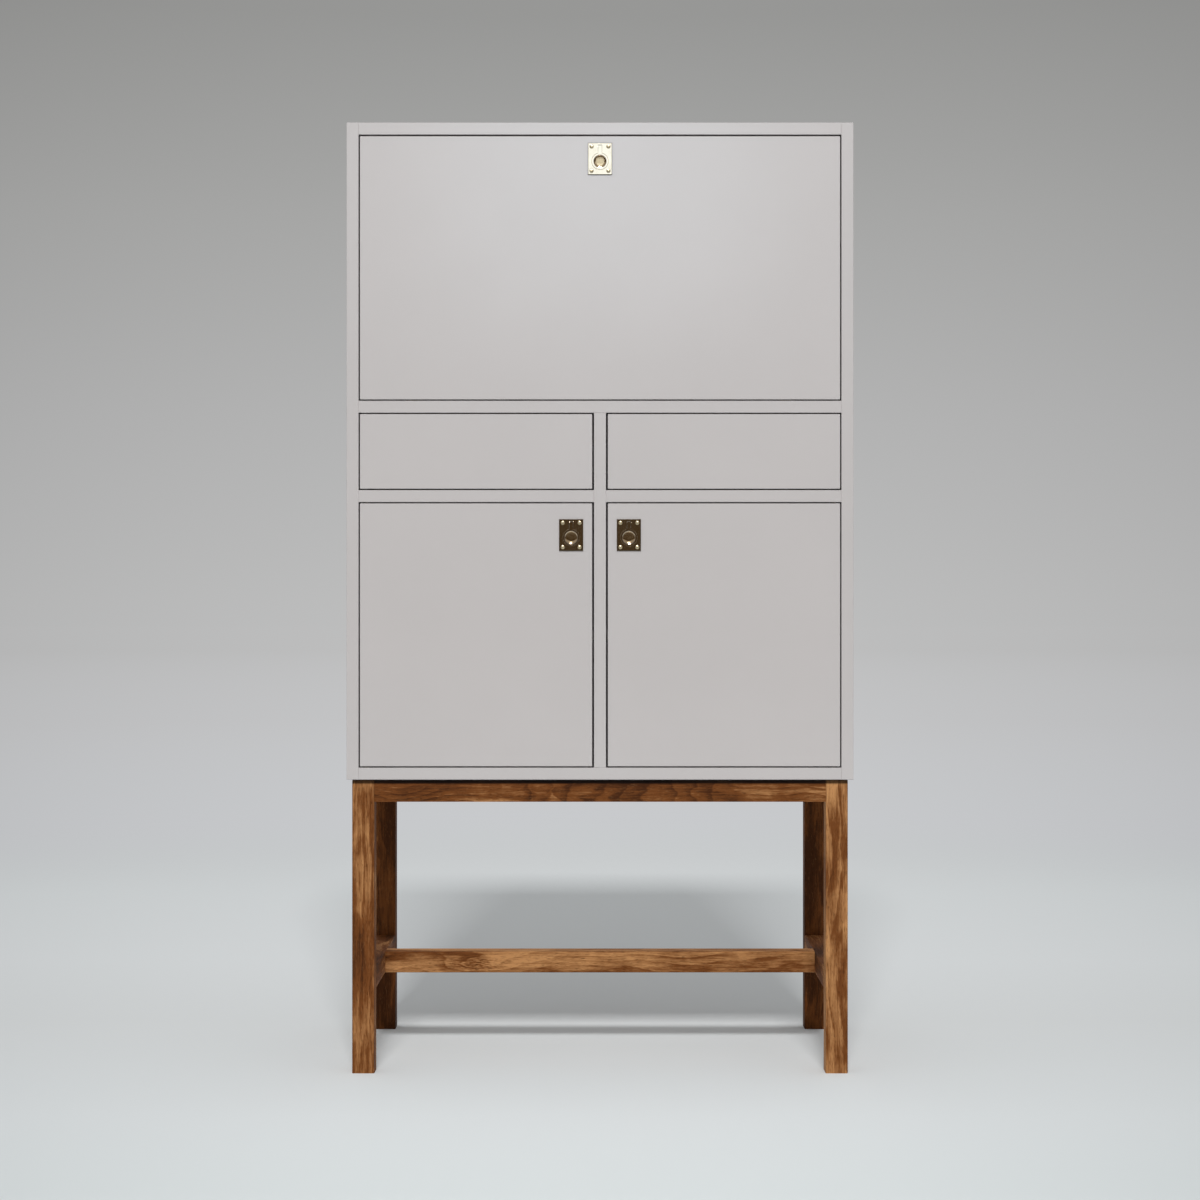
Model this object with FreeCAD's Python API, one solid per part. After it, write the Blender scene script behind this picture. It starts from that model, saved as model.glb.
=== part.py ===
"""Bar cabinet with a fold-out shelf on a walnut stand, built piece by piece.

Millimetres. +Z is up, -Y is the front, X is the width, and the origin lies on the
floor under the middle of the whole box.  Depths named "d" are counted from the
front plane of the carcass towards the back.
"""
import FreeCAD, Part
import os
from math import asin, cos, degrees, hypot, pi, sin

# ---------------------------------------------------------------- driving sizes
# Carcass
carcass_width = 800.0
carcass_depth = 420.0
panel = 19.0                    # lacquered board
back_thickness = 6.0
back_rebate = 8.0               # how far the back reaches into the panels round it
cupboard_height = 419.0         # clear height of the cupboards
drawer_bay_height = 122.0
bar_height = 420.0
panel_arris = 0.7               # bevel of the front edges

# Inner shelves
shelf_thickness = 16.0
shelf_side_gap = 1.0
shelf_setback = 62.0            # from the inner face of the doors and the flap
bar_shelf_headroom = 142.0      # above the bar shelf
cupboard_shelf_level = 200.0    # underside, above the cupboard floor
pin_radius = 2.5
pin_depth = 9.0                 # in the panel
pin_reach = 8.0                 # under the shelf
pin_from_edge = 37.0            # from the shelf's front and back edges
pin_row_pitch = 32.0
pin_row_spare = 1               # spare holes above and below the one in use

# Gaps round the inset fronts
gap_side = 2.0
gap_middle = 2.8
gap_top = 2.0
gap_bottom = 2.0
flap_gap_top = 2.5
front_arris = 0.8               # bevel round the fronts

# Stand
leg = 35.0
leg_inset = 8.0                 # behind the carcass faces
stand_height = 463.5
leg_edge_radius = 2.0
rail_height = 34.0
rail_thickness = 22.0
stretcher_height = 35.0
stretcher_width = 35.0
stretcher_top = 164.0
tenon_thickness = 10.0
tenon_shoulder = 5.0            # above and below the tenon
tenon_meeting_gap = 0.6         # between two tenons in one leg
stretcher_tenon = 14.0
pad_thickness = 1.5
pad_size = 24.0
stand_screw_radius = 3.0
stand_screw_bite = 13.0         # into the bottom panel
stand_screw_head_radius = 6.0
stand_screw_head = 4.0
stand_screw_sink = 12.0         # counterbore depth
stand_screw_inset = 110.0       # from the inner face of the leg

# Flap hinges
hinge_setback = 7.0             # pin axis behind the front plane
hinge_pin_radius = 1.5
hinge_running_fit = 0.05
hinge_eye_radius = 3.2
hinge_leaf = 2.7                # leaf thickness
hinge_leaf_width = 16.0
hinge_leaf_height = 43.0        # on the flap
hinge_leaf_relief = 0.4         # below the flap, off the inner face
hinge_base_width = 30.0
hinge_base_floor = 3.0          # board left under the pocket
hinge_base_rear = 4.5           # web behind the leaf's slot
hinge_flange = 26.0
hinge_flange_thickness = 2.0
hinge_gap = 0.3
hinge_inset = 85.0              # hinge middle from the flap's end

# Flap stays
stay_pivot_setback = 12.0       # pivot off the flap's inner face
stay_pivot_height = 190.0       # above the bar floor
stay_stowed = 45.0              # pivot to stud with the flap shut
stay_width = 14.0
stay_thickness = 2.5
stay_pin_radius = 3.0
stay_slot_play = 0.3
stay_side_clearance = 4.5       # arm to the side panel
stay_gap = 0.3                  # between the sliding faces
stay_head_radius = 5.0
stay_head = 2.5
stay_plate = 2.0
stay_plate_size = 32.0
stay_ear_reach = 6.0            # metal round the flap pivot
stay_foot = 26.0                # bracket foot along X
stay_plate_corner = 5.0

# Doors
pivot_from_side = 12.0          # pivot axis to the side panel
pivot_setback = 5.0             # pivot axis behind the front plane
pivot_pin_radius = 2.5
pivot_pin_length = 9.0
pivot_hole_radius = 3.2         # in the door's edge, behind the plate
pivot_hole_depth = 9.6
pivot_fit = 0.05
pivot_collar_radius = 3.6
pivot_collar_gap = 0.3
pivot_plate_thickness = 2.5
pivot_plate_width = 11.0
pivot_plate_length = 48.0
pivot_plate_front = 1.0         # plate edge behind the front plane
pivot_plate_end = 6.0           # plate end beyond the axis
pivot_plate_corner = 2.0

# Magnet catches
catch_width = 32.0
catch_height = 16.0
catch_depth = 22.0
catch_gap = 0.3
catch_offset = 34.0             # catch middle from the divider
strike_width = 24.0
strike_height = 10.0
strike_thickness = 1.5
strike_corner = 2.0
catch_bevel = 1.2

# Drawers
drawer_board = 12.0
drawer_side_height = 90.0
drawer_side_lift = 6.0          # box above the drawer shelf
drawer_bottom = 5.0
drawer_groove = 5.0             # groove depth
drawer_groove_lift = 10.0       # groove above the lower edge of the side
drawer_rear_clearance = 45.0
runner_width = 12.7
runner_height = 45.0
runner_wall = 1.5
runner_gap = 0.4
runner_setback = 1.0            # behind the drawer front
runner_lift = 22.0              # lower edge above the side's lower edge

# Ring pulls
pull_width = 38.0
pull_height = 50.0
pull_plate = 2.5                # stands proud of the front
pull_corner = 0.8
pull_edge = 0.4                 # bevel round the plate
pull_ring_drop = 4.0            # ring centre below the plate's middle
pull_ring_radius = 13.0
pull_ring_inner = 9.6
pull_ring_section = 2.6         # ring thickness
pull_ring_sink = 0.3            # ring below the plate's face
pull_ring_play = 0.4
pull_stem = 6.0
pull_stem_play = 0.3
pull_pivot_drop = 4.8           # pivot below the plate's top edge
pull_trunnion_radius = 0.8
pull_trunnion_fit = 0.05
pull_trunnion_length = 2.2
pull_bowl_radius = 9.9
pull_bowl_depth = 8.0
pull_bowl_floor_radius = 5.5
pull_cup_radius = 15.5
pull_cup_depth = 13.0           # behind the plate
pull_housing_wall = 1.5         # round the stem's slot and its trunnions
door_pull_drop = 25.0           # plate top below the door's top
door_pull_inset = 14.2          # plate edge from the door's inner edge
flap_pull_drop = 11.0           # plate top below the flap's top

# ---------------------------------------------------------------- worked-out places
overall_depth = carcass_depth + pull_plate
front_y = pull_plate - overall_depth / 2

carcass_bottom = stand_height + pad_thickness
cupboard_floor = carcass_bottom + panel
cupboard_top = cupboard_floor + cupboard_height
drawer_floor = cupboard_top + panel
drawer_top = drawer_floor + drawer_bay_height
bar_floor = drawer_top + panel
bar_top = bar_floor + bar_height
carcass_top = bar_top + panel

side_outer = carcass_width / 2
side_inner = side_outer - panel
divider_face = panel / 2
inner_depth = carcass_depth - back_thickness

# Hinge axis of the flap.  Its drop below the bar floor equals its distance from the
# flap's inner face, so the open flap lies flush with the bar floor.
hinge_drop = panel - hinge_setback
hinge_z = bar_floor - hinge_drop

# Flats round shelf pins, screws, their holes and hidden collars, round the cups behind
# the pulls, and round the rings with their wells and bowls.
small_sides = 8
cup_sides = 16
ring_sides = 48

SIDES = ((-1, "left"), (1, "right"))
X_AXIS = FreeCAD.Vector(1, 0, 0)
Y_AXIS = FreeCAD.Vector(0, 1, 0)
Z_AXIS = FreeCAD.Vector(0, 0, 1)


# ---------------------------------------------------------------- small tools
def at(x, d, z):
    """A point at depth d behind the carcass front plane."""
    return FreeCAD.Vector(x, front_y + d, z)


def block(x0, x1, d0, d1, z0, z1):
    low_x, high_x = sorted((x0, x1))
    return Part.makeBox(high_x - low_x, d1 - d0, z1 - z0, at(low_x, d0, z0))


def rod(radius, start, end):
    along = end - start
    return Part.makeCylinder(radius, along.Length, start, along)


def polygon(radius, centre, along, sides):
    """A closed regular polygon round an axis."""
    axis = FreeCAD.Vector(along).normalize()
    across = X_AXIS if abs(axis.z) > 0.5 else Z_AXIS
    up = axis.cross(across)
    turns = [2 * pi * k / sides for k in range(sides)]
    corners = [centre + across * radius * cos(t) + up * radius * sin(t) for t in turns]
    return Part.makePolygon(corners + corners[:1])


def flat_rod(radius, start, end, sides=small_sides):
    """A rod or hole whose round is made of flats."""
    return Part.Face(polygon(radius, start, end - start, sides)).extrude(end - start)


def flat_bore(radius, start, end, sides=small_sides):
    """A hole of flats that all keep this distance from the axis."""
    return flat_rod(radius / cos(pi / sides), start, end, sides)


def flat_cone(radius_start, radius_end, start, end, sides):
    """A tapering hole whose round is made of flats."""
    wires = [polygon(radius_start, start, end - start, sides),
             polygon(radius_end, end, end - start, sides)]
    faces = [Part.Face(wire) for wire in wires]
    near, far = [[v.Point for v in wire.OrderedVertexes] for wire in wires]
    for k in range(sides):
        corners = [near[k], near[k - 1], far[k - 1], far[k], near[k]]
        faces.append(Part.Face(Part.makePolygon(corners)))
    return Part.makeSolid(Part.makeShell(faces))


def join(first, *others):
    return first.fuse(list(others)).removeSplitter()


def edges_where(shape, test):
    return [edge for edge in shape.Edges if all(test(v.Point) for v in edge.Vertexes)]


def edges_along(shape, axis):
    """The straight edges of a block that run along one axis."""
    edges = []
    for edge in shape.Edges:
        run = edge.Vertexes[-1].Point - edge.Vertexes[0].Point
        if run.cross(axis).Length < 1e-6:
            edges.append(edge)
    return edges


def bevel_front(shape, size):
    """Break the edges that lie in the foremost plane of a panel."""
    foremost = shape.BoundBox.YMin
    return shape.makeChamfer(size, edges_where(shape, lambda p: abs(p.y - foremost) < 1e-6))


def front_board(x0, x1, z0, z1):
    """An inset front; all its edges are broken."""
    board = block(x0, x1, 0, panel, z0, z1)
    return board.makeChamfer(front_arris, board.Edges)


def prism_x(outline, x0, x1):
    """A prism along X over an outline of (d, z) points."""
    low_x, high_x = sorted((x0, x1))
    points = [at(low_x, d, z) for d, z in outline]
    face = Part.Face(Part.makePolygon(points + points[:1]))
    return face.extrude(FreeCAD.Vector(high_x - low_x, 0, 0))


def mirrored(shape):
    return shape.mirror(FreeCAD.Vector(0, 0, 0), X_AXIS)


def on_side(sign, right_hand_shape):
    """The shape itself on the right (+X), its mirror image on the left."""
    return right_hand_shape if sign > 0 else mirrored(right_hand_shape)


def write(name, *solids):
    shape = solids[0] if len(solids) == 1 else Part.makeCompound(list(solids))
    shape.exportStep(os.path.join("parts", name + ".step"))


# ---------------------------------------------------------------- carcass
def back_board():
    reach_x = side_inner + back_rebate
    return block(-reach_x, reach_x, inner_depth, carcass_depth,
                 cupboard_floor - back_rebate, bar_top + back_rebate)


def bar_shelf_level():
    """Underside of the bar shelf."""
    return bar_top - bar_shelf_headroom - shelf_thickness


def cupboard_shelf_bottom():
    return cupboard_floor + cupboard_shelf_level


def shelf_pin_depths():
    front = panel + shelf_setback + pin_from_edge
    return front, inner_depth - pin_from_edge


def pin_hole_row(x_start, depth, level):
    """A ladder of holes for shelf pins, drilled along +X from a panel face."""
    holes = []
    for d in shelf_pin_depths():
        for step in range(-pin_row_spare, pin_row_spare + 1):
            z = level - pin_radius + step * pin_row_pitch
            holes.append(flat_rod(pin_radius, at(x_start, d, z), at(x_start + depth, d, z)))
    return holes


def pivot_plate(z0, z1):
    """Flat plate of a door pivot on the right side; it lies in a panel or a door edge."""
    axis_x = side_inner - pivot_from_side
    plate = block(axis_x + pivot_plate_end, axis_x + pivot_plate_end - pivot_plate_length,
                  pivot_plate_front, pivot_plate_front + pivot_plate_width, z0, z1)
    return plate.makeChamfer(pivot_plate_corner, edges_along(plate, Z_AXIS))


def stay_stud_place():
    """Depth and height of the fixed stud: the flap pivot turned back about the hinge."""
    du = panel + stay_pivot_setback - hinge_setback
    dv = bar_floor + stay_pivot_height - hinge_z
    turn = -2 * asin(stay_stowed / 2 / hypot(du, dv))
    d = hinge_setback + du * cos(turn) - dv * sin(turn)
    z = hinge_z + du * sin(turn) + dv * cos(turn)
    return d, z


def side_panel():
    board = block(side_inner, side_outer, 0, carcass_depth, carcass_bottom, carcass_top)
    front = edges_where(board, lambda p: abs(p.y - front_y) < 1e-6)
    outer_top = edges_where(board, lambda p: abs(p.z - carcass_top) < 1e-6
                            and abs(p.x - side_outer) < 1e-6)
    board = board.makeChamfer(panel_arris, front + outer_top)
    holes = pin_hole_row(side_inner, pin_depth, bar_shelf_level())
    holes += pin_hole_row(side_inner, pin_depth, cupboard_shelf_bottom())
    return board.cut([back_board()] + holes)


def top_panel():
    board = block(-side_inner, side_inner, 0, carcass_depth, bar_top, carcass_top)
    return bevel_front(board, panel_arris).cut(back_board())


def stand_screw_places():
    reach = side_outer - leg_inset - leg - stand_screw_inset
    front = leg_inset + rail_thickness / 2
    back = carcass_depth - front
    return [(x, d) for x in (-reach, reach) for d in (front, back)]


def stand_screw(x, d):
    head_z = stand_height - rail_height + stand_screw_sink
    shank = flat_rod(stand_screw_radius, at(x, d, head_z),
                     at(x, d, carcass_bottom + stand_screw_bite))
    head = flat_rod(stand_screw_head_radius, at(x, d, head_z - stand_screw_head),
                    at(x, d, head_z))
    return join(shank, head)


def bottom_panel():
    board = block(-side_inner, side_inner, 0, carcass_depth, carcass_bottom, cupboard_floor)
    board = bevel_front(board, panel_arris)
    recess = pivot_plate(cupboard_floor - pivot_plate_thickness, cupboard_floor)
    cuts = [back_board(), recess, mirrored(recess)]
    cuts += [stand_screw(x, d) for x, d in stand_screw_places()]
    return board.cut(cuts)


def centre_divider():
    board = block(-divider_face, divider_face, 0, inner_depth, cupboard_floor, drawer_top)
    board = bevel_front(board, panel_arris)
    return board.cut(pin_hole_row(-divider_face, panel, cupboard_shelf_bottom()))


def drawer_shelf():
    board = block(divider_face, side_inner, 0, inner_depth, cupboard_top, drawer_floor)
    board = bevel_front(board, panel_arris)
    return board.cut(pivot_plate(cupboard_top, cupboard_top + pivot_plate_thickness))


# ---------------------------------------------------------------- flap hinges
def hinge_middle():
    return side_inner - gap_side - hinge_inset


def hinge_pocket_depths():
    """Front and back of the pocket that the hinge base fills."""
    front = hinge_setback - hinge_eye_radius - hinge_gap
    reach = hypot(hinge_drop + hinge_leaf, hinge_eye_radius)
    back = hinge_setback + reach + 2 * hinge_gap + hinge_base_rear
    return front, back


def hinge_base_body():
    """The block let into the bar floor, with its thin screw flange behind it."""
    middle = hinge_middle()
    half = hinge_base_width / 2
    front, back = hinge_pocket_depths()
    low = bar_floor - panel + hinge_base_floor
    body = block(middle - half, middle + half, front, back, low, bar_floor)
    flange = block(middle - half, middle + half, back, back + hinge_flange,
                   bar_floor - hinge_flange_thickness, bar_floor)
    return join(body, flange)


def hinge_base():
    middle = hinge_middle()
    front, back = hinge_pocket_depths()
    half_slot = hinge_leaf_width / 2 + hinge_gap
    low = bar_floor - panel + hinge_base_floor
    slot = block(middle - half_slot, middle + half_slot, front, back - hinge_base_rear,
                 low, bar_floor)
    base = hinge_base_body().cut(slot)
    half = hinge_base_width / 2
    bore = flat_bore(hinge_pin_radius, at(middle - half, hinge_setback, hinge_z),
                     at(middle + half, hinge_setback, hinge_z))
    return base.cut(bore)


def hinge_pin():
    half = hinge_base_width / 2
    return rod(hinge_pin_radius, at(hinge_middle() - half, hinge_setback, hinge_z),
               at(hinge_middle() + half, hinge_setback, hinge_z))


def bar_floor_panel():
    board = block(-side_inner, side_inner, 0, inner_depth, drawer_top, bar_floor)
    board = bevel_front(board, panel_arris)
    return board.cut([hinge_base_body(), mirrored(hinge_base_body())])


def flap_bottom():
    return bar_floor + gap_bottom


def hinge_leaf_piece():
    """Leaf screwed to the flap; below the flap it hooks forward to its eye on the pin."""
    half = hinge_leaf_width / 2
    x0, x1 = hinge_middle() - half, hinge_middle() + half
    back = panel + hinge_leaf
    low = hinge_z - hinge_eye_radius
    plate = block(x0, x1, panel, back, flap_bottom(), flap_bottom() + hinge_leaf_height)
    neck = block(x0, x1, panel + hinge_leaf_relief, back, low, flap_bottom())
    arm = block(x0, x1, hinge_setback, back, low, hinge_z)
    eye = rod(hinge_eye_radius, at(x0, hinge_setback, hinge_z), at(x1, hinge_setback, hinge_z))
    bore = rod(hinge_pin_radius + hinge_running_fit, at(x0, hinge_setback, hinge_z),
               at(x1, hinge_setback, hinge_z))
    return join(plate, neck, arm, eye).cut(bore)


# ---------------------------------------------------------------- flap and stays
def flap_board():
    half = side_inner - gap_side
    board = front_board(-half, half, flap_bottom(), bar_top - flap_gap_top)
    return board.cut(pull_mortise(0, bar_top - flap_gap_top - flap_pull_drop))


def stay_outer_face():
    return side_inner - stay_side_clearance


def stay_pivot_place():
    return panel + stay_pivot_setback, bar_floor + stay_pivot_height


def stay_arm():
    """Slotted brass arm; its eye turns on the flap, its slot slides on the side stud."""
    pivot_d, pivot_z = stay_pivot_place()
    stud_d, stud_z = stay_stud_place()
    open_span = hypot(stud_d - hinge_setback + (pivot_z - hinge_z),
                      stud_z - hinge_z - (pivot_d - hinge_setback))
    x1 = stay_outer_face()
    x0 = x1 - stay_thickness
    half = stay_width / 2
    slot_half = stay_pin_radius + stay_slot_play
    tail = open_span + slot_half + half - stay_pin_radius

    def bar(start, end, half_width):
        """A flat bar with round ends, laid along +Y from the pivot."""
        y_start = FreeCAD.Vector(x0, start, 0)
        y_end = FreeCAD.Vector(x0, end, 0)
        web = Part.makeBox(stay_thickness, end - start, 2 * half_width,
                           FreeCAD.Vector(x0, start, -half_width))
        ends = [Part.makeCylinder(half_width, stay_thickness, p, X_AXIS) for p in (y_start, y_end)]
        return join(web, *ends)

    eye = Part.makeCylinder(stay_pin_radius + hinge_running_fit, stay_thickness,
                            FreeCAD.Vector(x0, 0, 0), X_AXIS)
    arm = bar(0, tail, half).cut([eye, bar(stay_stowed, open_span, slot_half)])
    # Positive turns about +X lift the +Y end.
    slope = degrees(asin((stud_z - pivot_z) / stay_stowed))
    arm.rotate(FreeCAD.Vector(0, 0, 0), X_AXIS, slope)
    arm.translate(at(0, pivot_d, pivot_z))
    return arm


def stay_side_bracket():
    """Plate on the side panel with the shouldered stud that runs in the slot."""
    d, z = stay_stud_place()
    half = stay_plate_size / 2
    plate_x = side_inner - stay_plate
    outer, inner = stay_outer_face(), stay_outer_face() - stay_thickness
    plate = block(plate_x, side_inner, d - half, d + half, z - half, z + half)
    plate = plate.makeChamfer(stay_plate_corner, edges_along(plate, X_AXIS))
    shoulder = flat_rod(stay_head_radius, at(plate_x, d, z), at(outer + stay_gap, d, z))
    shank = rod(stay_pin_radius, at(outer + stay_gap, d, z), at(inner - stay_gap, d, z))
    head = flat_rod(stay_head_radius, at(inner - stay_gap, d, z),
                    at(inner - stay_gap - stay_head, d, z))
    return join(plate, shoulder, shank, head)


def stay_flap_bracket():
    """Foot on the flap's inner face, with an ear that carries the arm's pivot pin."""
    d, z = stay_pivot_place()
    outer, inner = stay_outer_face(), stay_outer_face() - stay_thickness
    ear_x = inner - stay_gap - stay_plate
    half = stay_plate_size / 2
    foot = block(ear_x + stay_plate - stay_foot, ear_x + stay_plate, panel, panel + stay_plate,
                 z - half, z + half)
    ear_outline = [(panel, z - half), (panel, z + half),
                   (panel + stay_plate, z + half), (d, z + stay_ear_reach),
                   (d, z - stay_ear_reach), (panel + stay_plate, z - half)]
    ear = prism_x(ear_outline, ear_x, ear_x + stay_plate)
    nose = rod(stay_ear_reach, at(ear_x, d, z), at(ear_x + stay_plate, d, z))
    pin = rod(stay_pin_radius, at(ear_x, d, z), at(outer + stay_gap, d, z))
    head_end = outer + stay_gap + stay_plate
    head = flat_rod(stay_head_radius, at(outer + stay_gap, d, z), at(head_end, d, z))
    return join(foot, ear, nose, pin, head)


# ---------------------------------------------------------------- ring pulls
def ring_centre(top):
    return top - pull_height / 2 - pull_ring_drop


def ring_depths():
    """Front and back face of the ring at rest, as depths."""
    front = -pull_plate + pull_ring_sink
    return front, front + pull_ring_section


def stem_pivot(top):
    front, back = ring_depths()
    return (front + back) / 2, top - pull_pivot_drop


def stem_housing(x, top):
    """The raised box behind the plate that holds the stem's slot."""
    front, back = ring_depths()
    half = pull_stem / 2 + pull_trunnion_length + pull_housing_wall
    return block(x - half, x + half, 0, back + pull_ring_play + pull_housing_wall,
                 ring_centre(top), top - pull_pivot_drop + 2 * pull_housing_wall)


def pull_cup(x, top):
    centre = ring_centre(top)
    return flat_rod(pull_cup_radius, at(x, 0, centre), at(x, pull_cup_depth, centre), cup_sides)


def pull_mortise(x, top):
    """What a front loses for one pull: the cup and the stem housing."""
    return [pull_cup(x, top), stem_housing(x, top)]


def pull_body(x, top):
    """Cast plate with the cup behind it, sunk for ring, stem and finger bowl."""
    half = pull_width / 2
    plate = block(x - half, x + half, -pull_plate, 0, top - pull_height, top)
    plate = plate.makeChamfer(pull_corner, edges_along(plate, Y_AXIS))
    face = edges_where(plate, lambda p: abs(p.y - front_y + pull_plate) < 1e-6)
    plate = plate.makeChamfer(pull_edge, face)
    centre = ring_centre(top)
    front, back = ring_depths()
    floor = back + pull_ring_play
    pivot_d, pivot_z = stem_pivot(top)
    body = join(plate, pull_cup(x, top), stem_housing(x, top))
    well = flat_rod(pull_ring_radius + pull_ring_play, at(x, -pull_plate, centre),
                    at(x, floor, centre), ring_sides)
    bowl = flat_cone(pull_bowl_radius, pull_bowl_floor_radius, at(x, floor, centre),
                     at(x, floor + pull_bowl_depth, centre), ring_sides)
    stem_half = pull_stem / 2 + pull_stem_play
    slot = block(x - stem_half, x + stem_half, -pull_plate, floor, centre,
                 pivot_z + pull_ring_section / 2 + pull_ring_play)
    reach = pull_stem / 2 + pull_trunnion_length + pull_stem_play
    bore = flat_bore(pull_trunnion_radius + pull_trunnion_fit, at(x - reach, pivot_d, pivot_z),
                     at(x + reach, pivot_d, pivot_z))
    return body.cut([well, bowl, slot, bore])


def pull_ring(x, top):
    """Flat ring with a stem; two trunnions at the stem's end turn in the plate."""
    centre = ring_centre(top)
    front, back = ring_depths()
    pivot_d, pivot_z = stem_pivot(top)
    disc = flat_rod(pull_ring_radius, at(x, front, centre), at(x, back, centre), ring_sides)
    hole = flat_rod(pull_ring_inner, at(x, front, centre), at(x, back, centre), ring_sides)
    stem = block(x - pull_stem / 2, x + pull_stem / 2, front, back, centre, pivot_z)
    knuckle = rod(pull_ring_section / 2, at(x - pull_stem / 2, pivot_d, pivot_z),
                  at(x + pull_stem / 2, pivot_d, pivot_z))
    reach = pull_stem / 2 + pull_trunnion_length
    trunnions = flat_rod(pull_trunnion_radius, at(x - reach, pivot_d, pivot_z),
                         at(x + reach, pivot_d, pivot_z))
    return join(disc, stem, knuckle, trunnions).cut(hole)


def write_pull(name, x, top):
    write(name + "_pull_plate", pull_body(x, top))
    write(name + "_pull_ring", pull_ring(x, top))


# ---------------------------------------------------------------- doors
def door_edges():
    """Inner and outer X of the right door."""
    return divider_face + gap_middle, side_inner - gap_side


def door_pull_middle():
    inner, outer = door_edges()
    return inner + door_pull_inset + pull_width / 2


def door_levels():
    return cupboard_floor + gap_bottom, cupboard_top - gap_top


def on_pivot_axis(make_rod, radius, z0, z1):
    axis_x = side_inner - pivot_from_side
    return make_rod(radius, at(axis_x, pivot_setback, z0), at(axis_x, pivot_setback, z1))


def carcass_pivots():
    """Lower and upper pivot of the right door, each a plate with its pin and collar."""
    low, high = door_levels()
    pieces = []
    for face, edge, up in ((cupboard_floor, low, 1), (cupboard_top, high, -1)):
        plate_z = sorted((face, face - up * pivot_plate_thickness))
        collar = on_pivot_axis(flat_rod, pivot_collar_radius, face, edge - up * pivot_collar_gap)
        pin = on_pivot_axis(rod, pivot_pin_radius, face, edge + up * pivot_pin_length)
        pieces.append(join(pivot_plate(*plate_z), collar, pin))
    return pieces


def door_plate(edge, up):
    plate = pivot_plate(*sorted((edge, edge + up * pivot_plate_thickness)))
    return plate.cut(on_pivot_axis(rod, pivot_pin_radius + pivot_fit, edge,
                                   edge + up * pivot_plate_thickness))


def door():
    inner, outer = door_edges()
    low, high = door_levels()
    board = front_board(inner, outer, low, high)
    cuts = pull_mortise(door_pull_middle(), high - door_pull_drop)
    for edge, up in ((low, 1), (high, -1)):
        cuts.append(pivot_plate(*sorted((edge, edge + up * pivot_plate_thickness))))
        cuts.append(on_pivot_axis(flat_rod, pivot_hole_radius, edge,
                                  edge + up * pivot_hole_depth))
    return board.cut(cuts)


# ---------------------------------------------------------------- magnet catches
def catch(x, ceiling):
    front = panel + strike_thickness + catch_gap
    half = catch_width / 2
    body = block(x - half, x + half, front, front + catch_depth, ceiling - catch_height, ceiling)
    lower = edges_where(body, lambda p: abs(p.z - ceiling + catch_height) < 1e-6)
    return body.makeChamfer(catch_bevel, lower)


def strike(x, ceiling):
    half = strike_width / 2
    middle = ceiling - catch_height / 2
    plate = block(x - half, x + half, panel, panel + strike_thickness,
                  middle - strike_height / 2, middle + strike_height / 2)
    return plate.makeChamfer(strike_corner, edges_along(plate, Y_AXIS))


# ---------------------------------------------------------------- drawers
def drawer_side_level():
    return drawer_floor + drawer_side_lift


def drawer_back_end():
    return inner_depth - drawer_rear_clearance


def drawer_outer_faces():
    """Outer faces of the right drawer's box, inner one first."""
    return divider_face + runner_width, side_inner - runner_width


def drawer_bottom_board():
    inner, outer = drawer_outer_faces()
    level = drawer_side_level() + drawer_groove_lift
    edge = drawer_board - drawer_groove
    return block(inner + edge, outer - edge, panel - drawer_groove, drawer_back_end(),
                 level, level + drawer_bottom)


def drawer_sides():
    inner, outer = drawer_outer_faces()
    low = drawer_side_level()
    high = low + drawer_side_height
    end = drawer_back_end()
    boards = [block(inner, inner + drawer_board, panel, end, low, high),
              block(outer - drawer_board, outer, panel, end, low, high)]
    return [board.cut(drawer_bottom_board()) for board in boards]


def drawer_back():
    inner, outer = drawer_outer_faces()
    end = drawer_back_end()
    low = drawer_side_level() + drawer_groove_lift + drawer_bottom
    return block(inner + drawer_board, outer - drawer_board, end - drawer_board, end,
                 low, drawer_side_level() + drawer_side_height)


def drawer_front():
    inner, outer = door_edges()
    board = front_board(inner, outer, drawer_floor + gap_bottom, drawer_top - gap_top)
    return board.cut(drawer_bottom_board())


def runner_channel(wall_x, away, depth_x, half_height):
    """A C channel along Y; its web stands at wall_x and its flanges point away."""
    start = panel + runner_setback
    middle = drawer_side_level() + runner_lift + runner_height / 2
    outer = block(wall_x, wall_x + away * depth_x, start, drawer_back_end(),
                  middle - half_height, middle + half_height)
    inner_half = half_height - runner_wall
    inner = block(wall_x + away * runner_wall, wall_x + away * depth_x, start,
                  drawer_back_end(), middle - inner_half, middle + inner_half)
    return outer.cut(inner)


def runner_members(wall_x, away):
    """Cabinet, middle and drawer member of one runner, nested in each other."""
    step = runner_wall + runner_gap
    half = runner_height / 2
    cabinet = runner_channel(wall_x, away, runner_width - step, half)
    middle = runner_channel(wall_x + away * step, away, runner_width - 2 * step, half - step)
    drawer_web = wall_x + away * runner_width
    drawer = runner_channel(drawer_web, -away, runner_width - 2 * step - runner_wall,
                            half - 2 * step)
    return cabinet, middle, drawer


# ---------------------------------------------------------------- inner shelves
def inner_shelf(x0, x1, level):
    return block(x0 + shelf_side_gap, x1 - shelf_side_gap, panel + shelf_setback,
                 inner_depth - shelf_side_gap, level, level + shelf_thickness)


def shelf_pins(x_start, x_end, level):
    """A front and a rear pin; the shelf lies on them."""
    z = level - pin_radius
    return [flat_rod(pin_radius, at(x_start, d, z), at(x_end, d, z))
            for d in shelf_pin_depths()]


# ---------------------------------------------------------------- stand
def leg_faces():
    """Outer and inner face of the right front leg: X, then depth."""
    outer_x = side_outer - leg_inset
    return outer_x, outer_x - leg, leg_inset, leg_inset + leg


def corner_tenon():
    return (leg - tenon_thickness) / 2 - tenon_meeting_gap


def rail_level():
    return stand_height - rail_height


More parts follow.
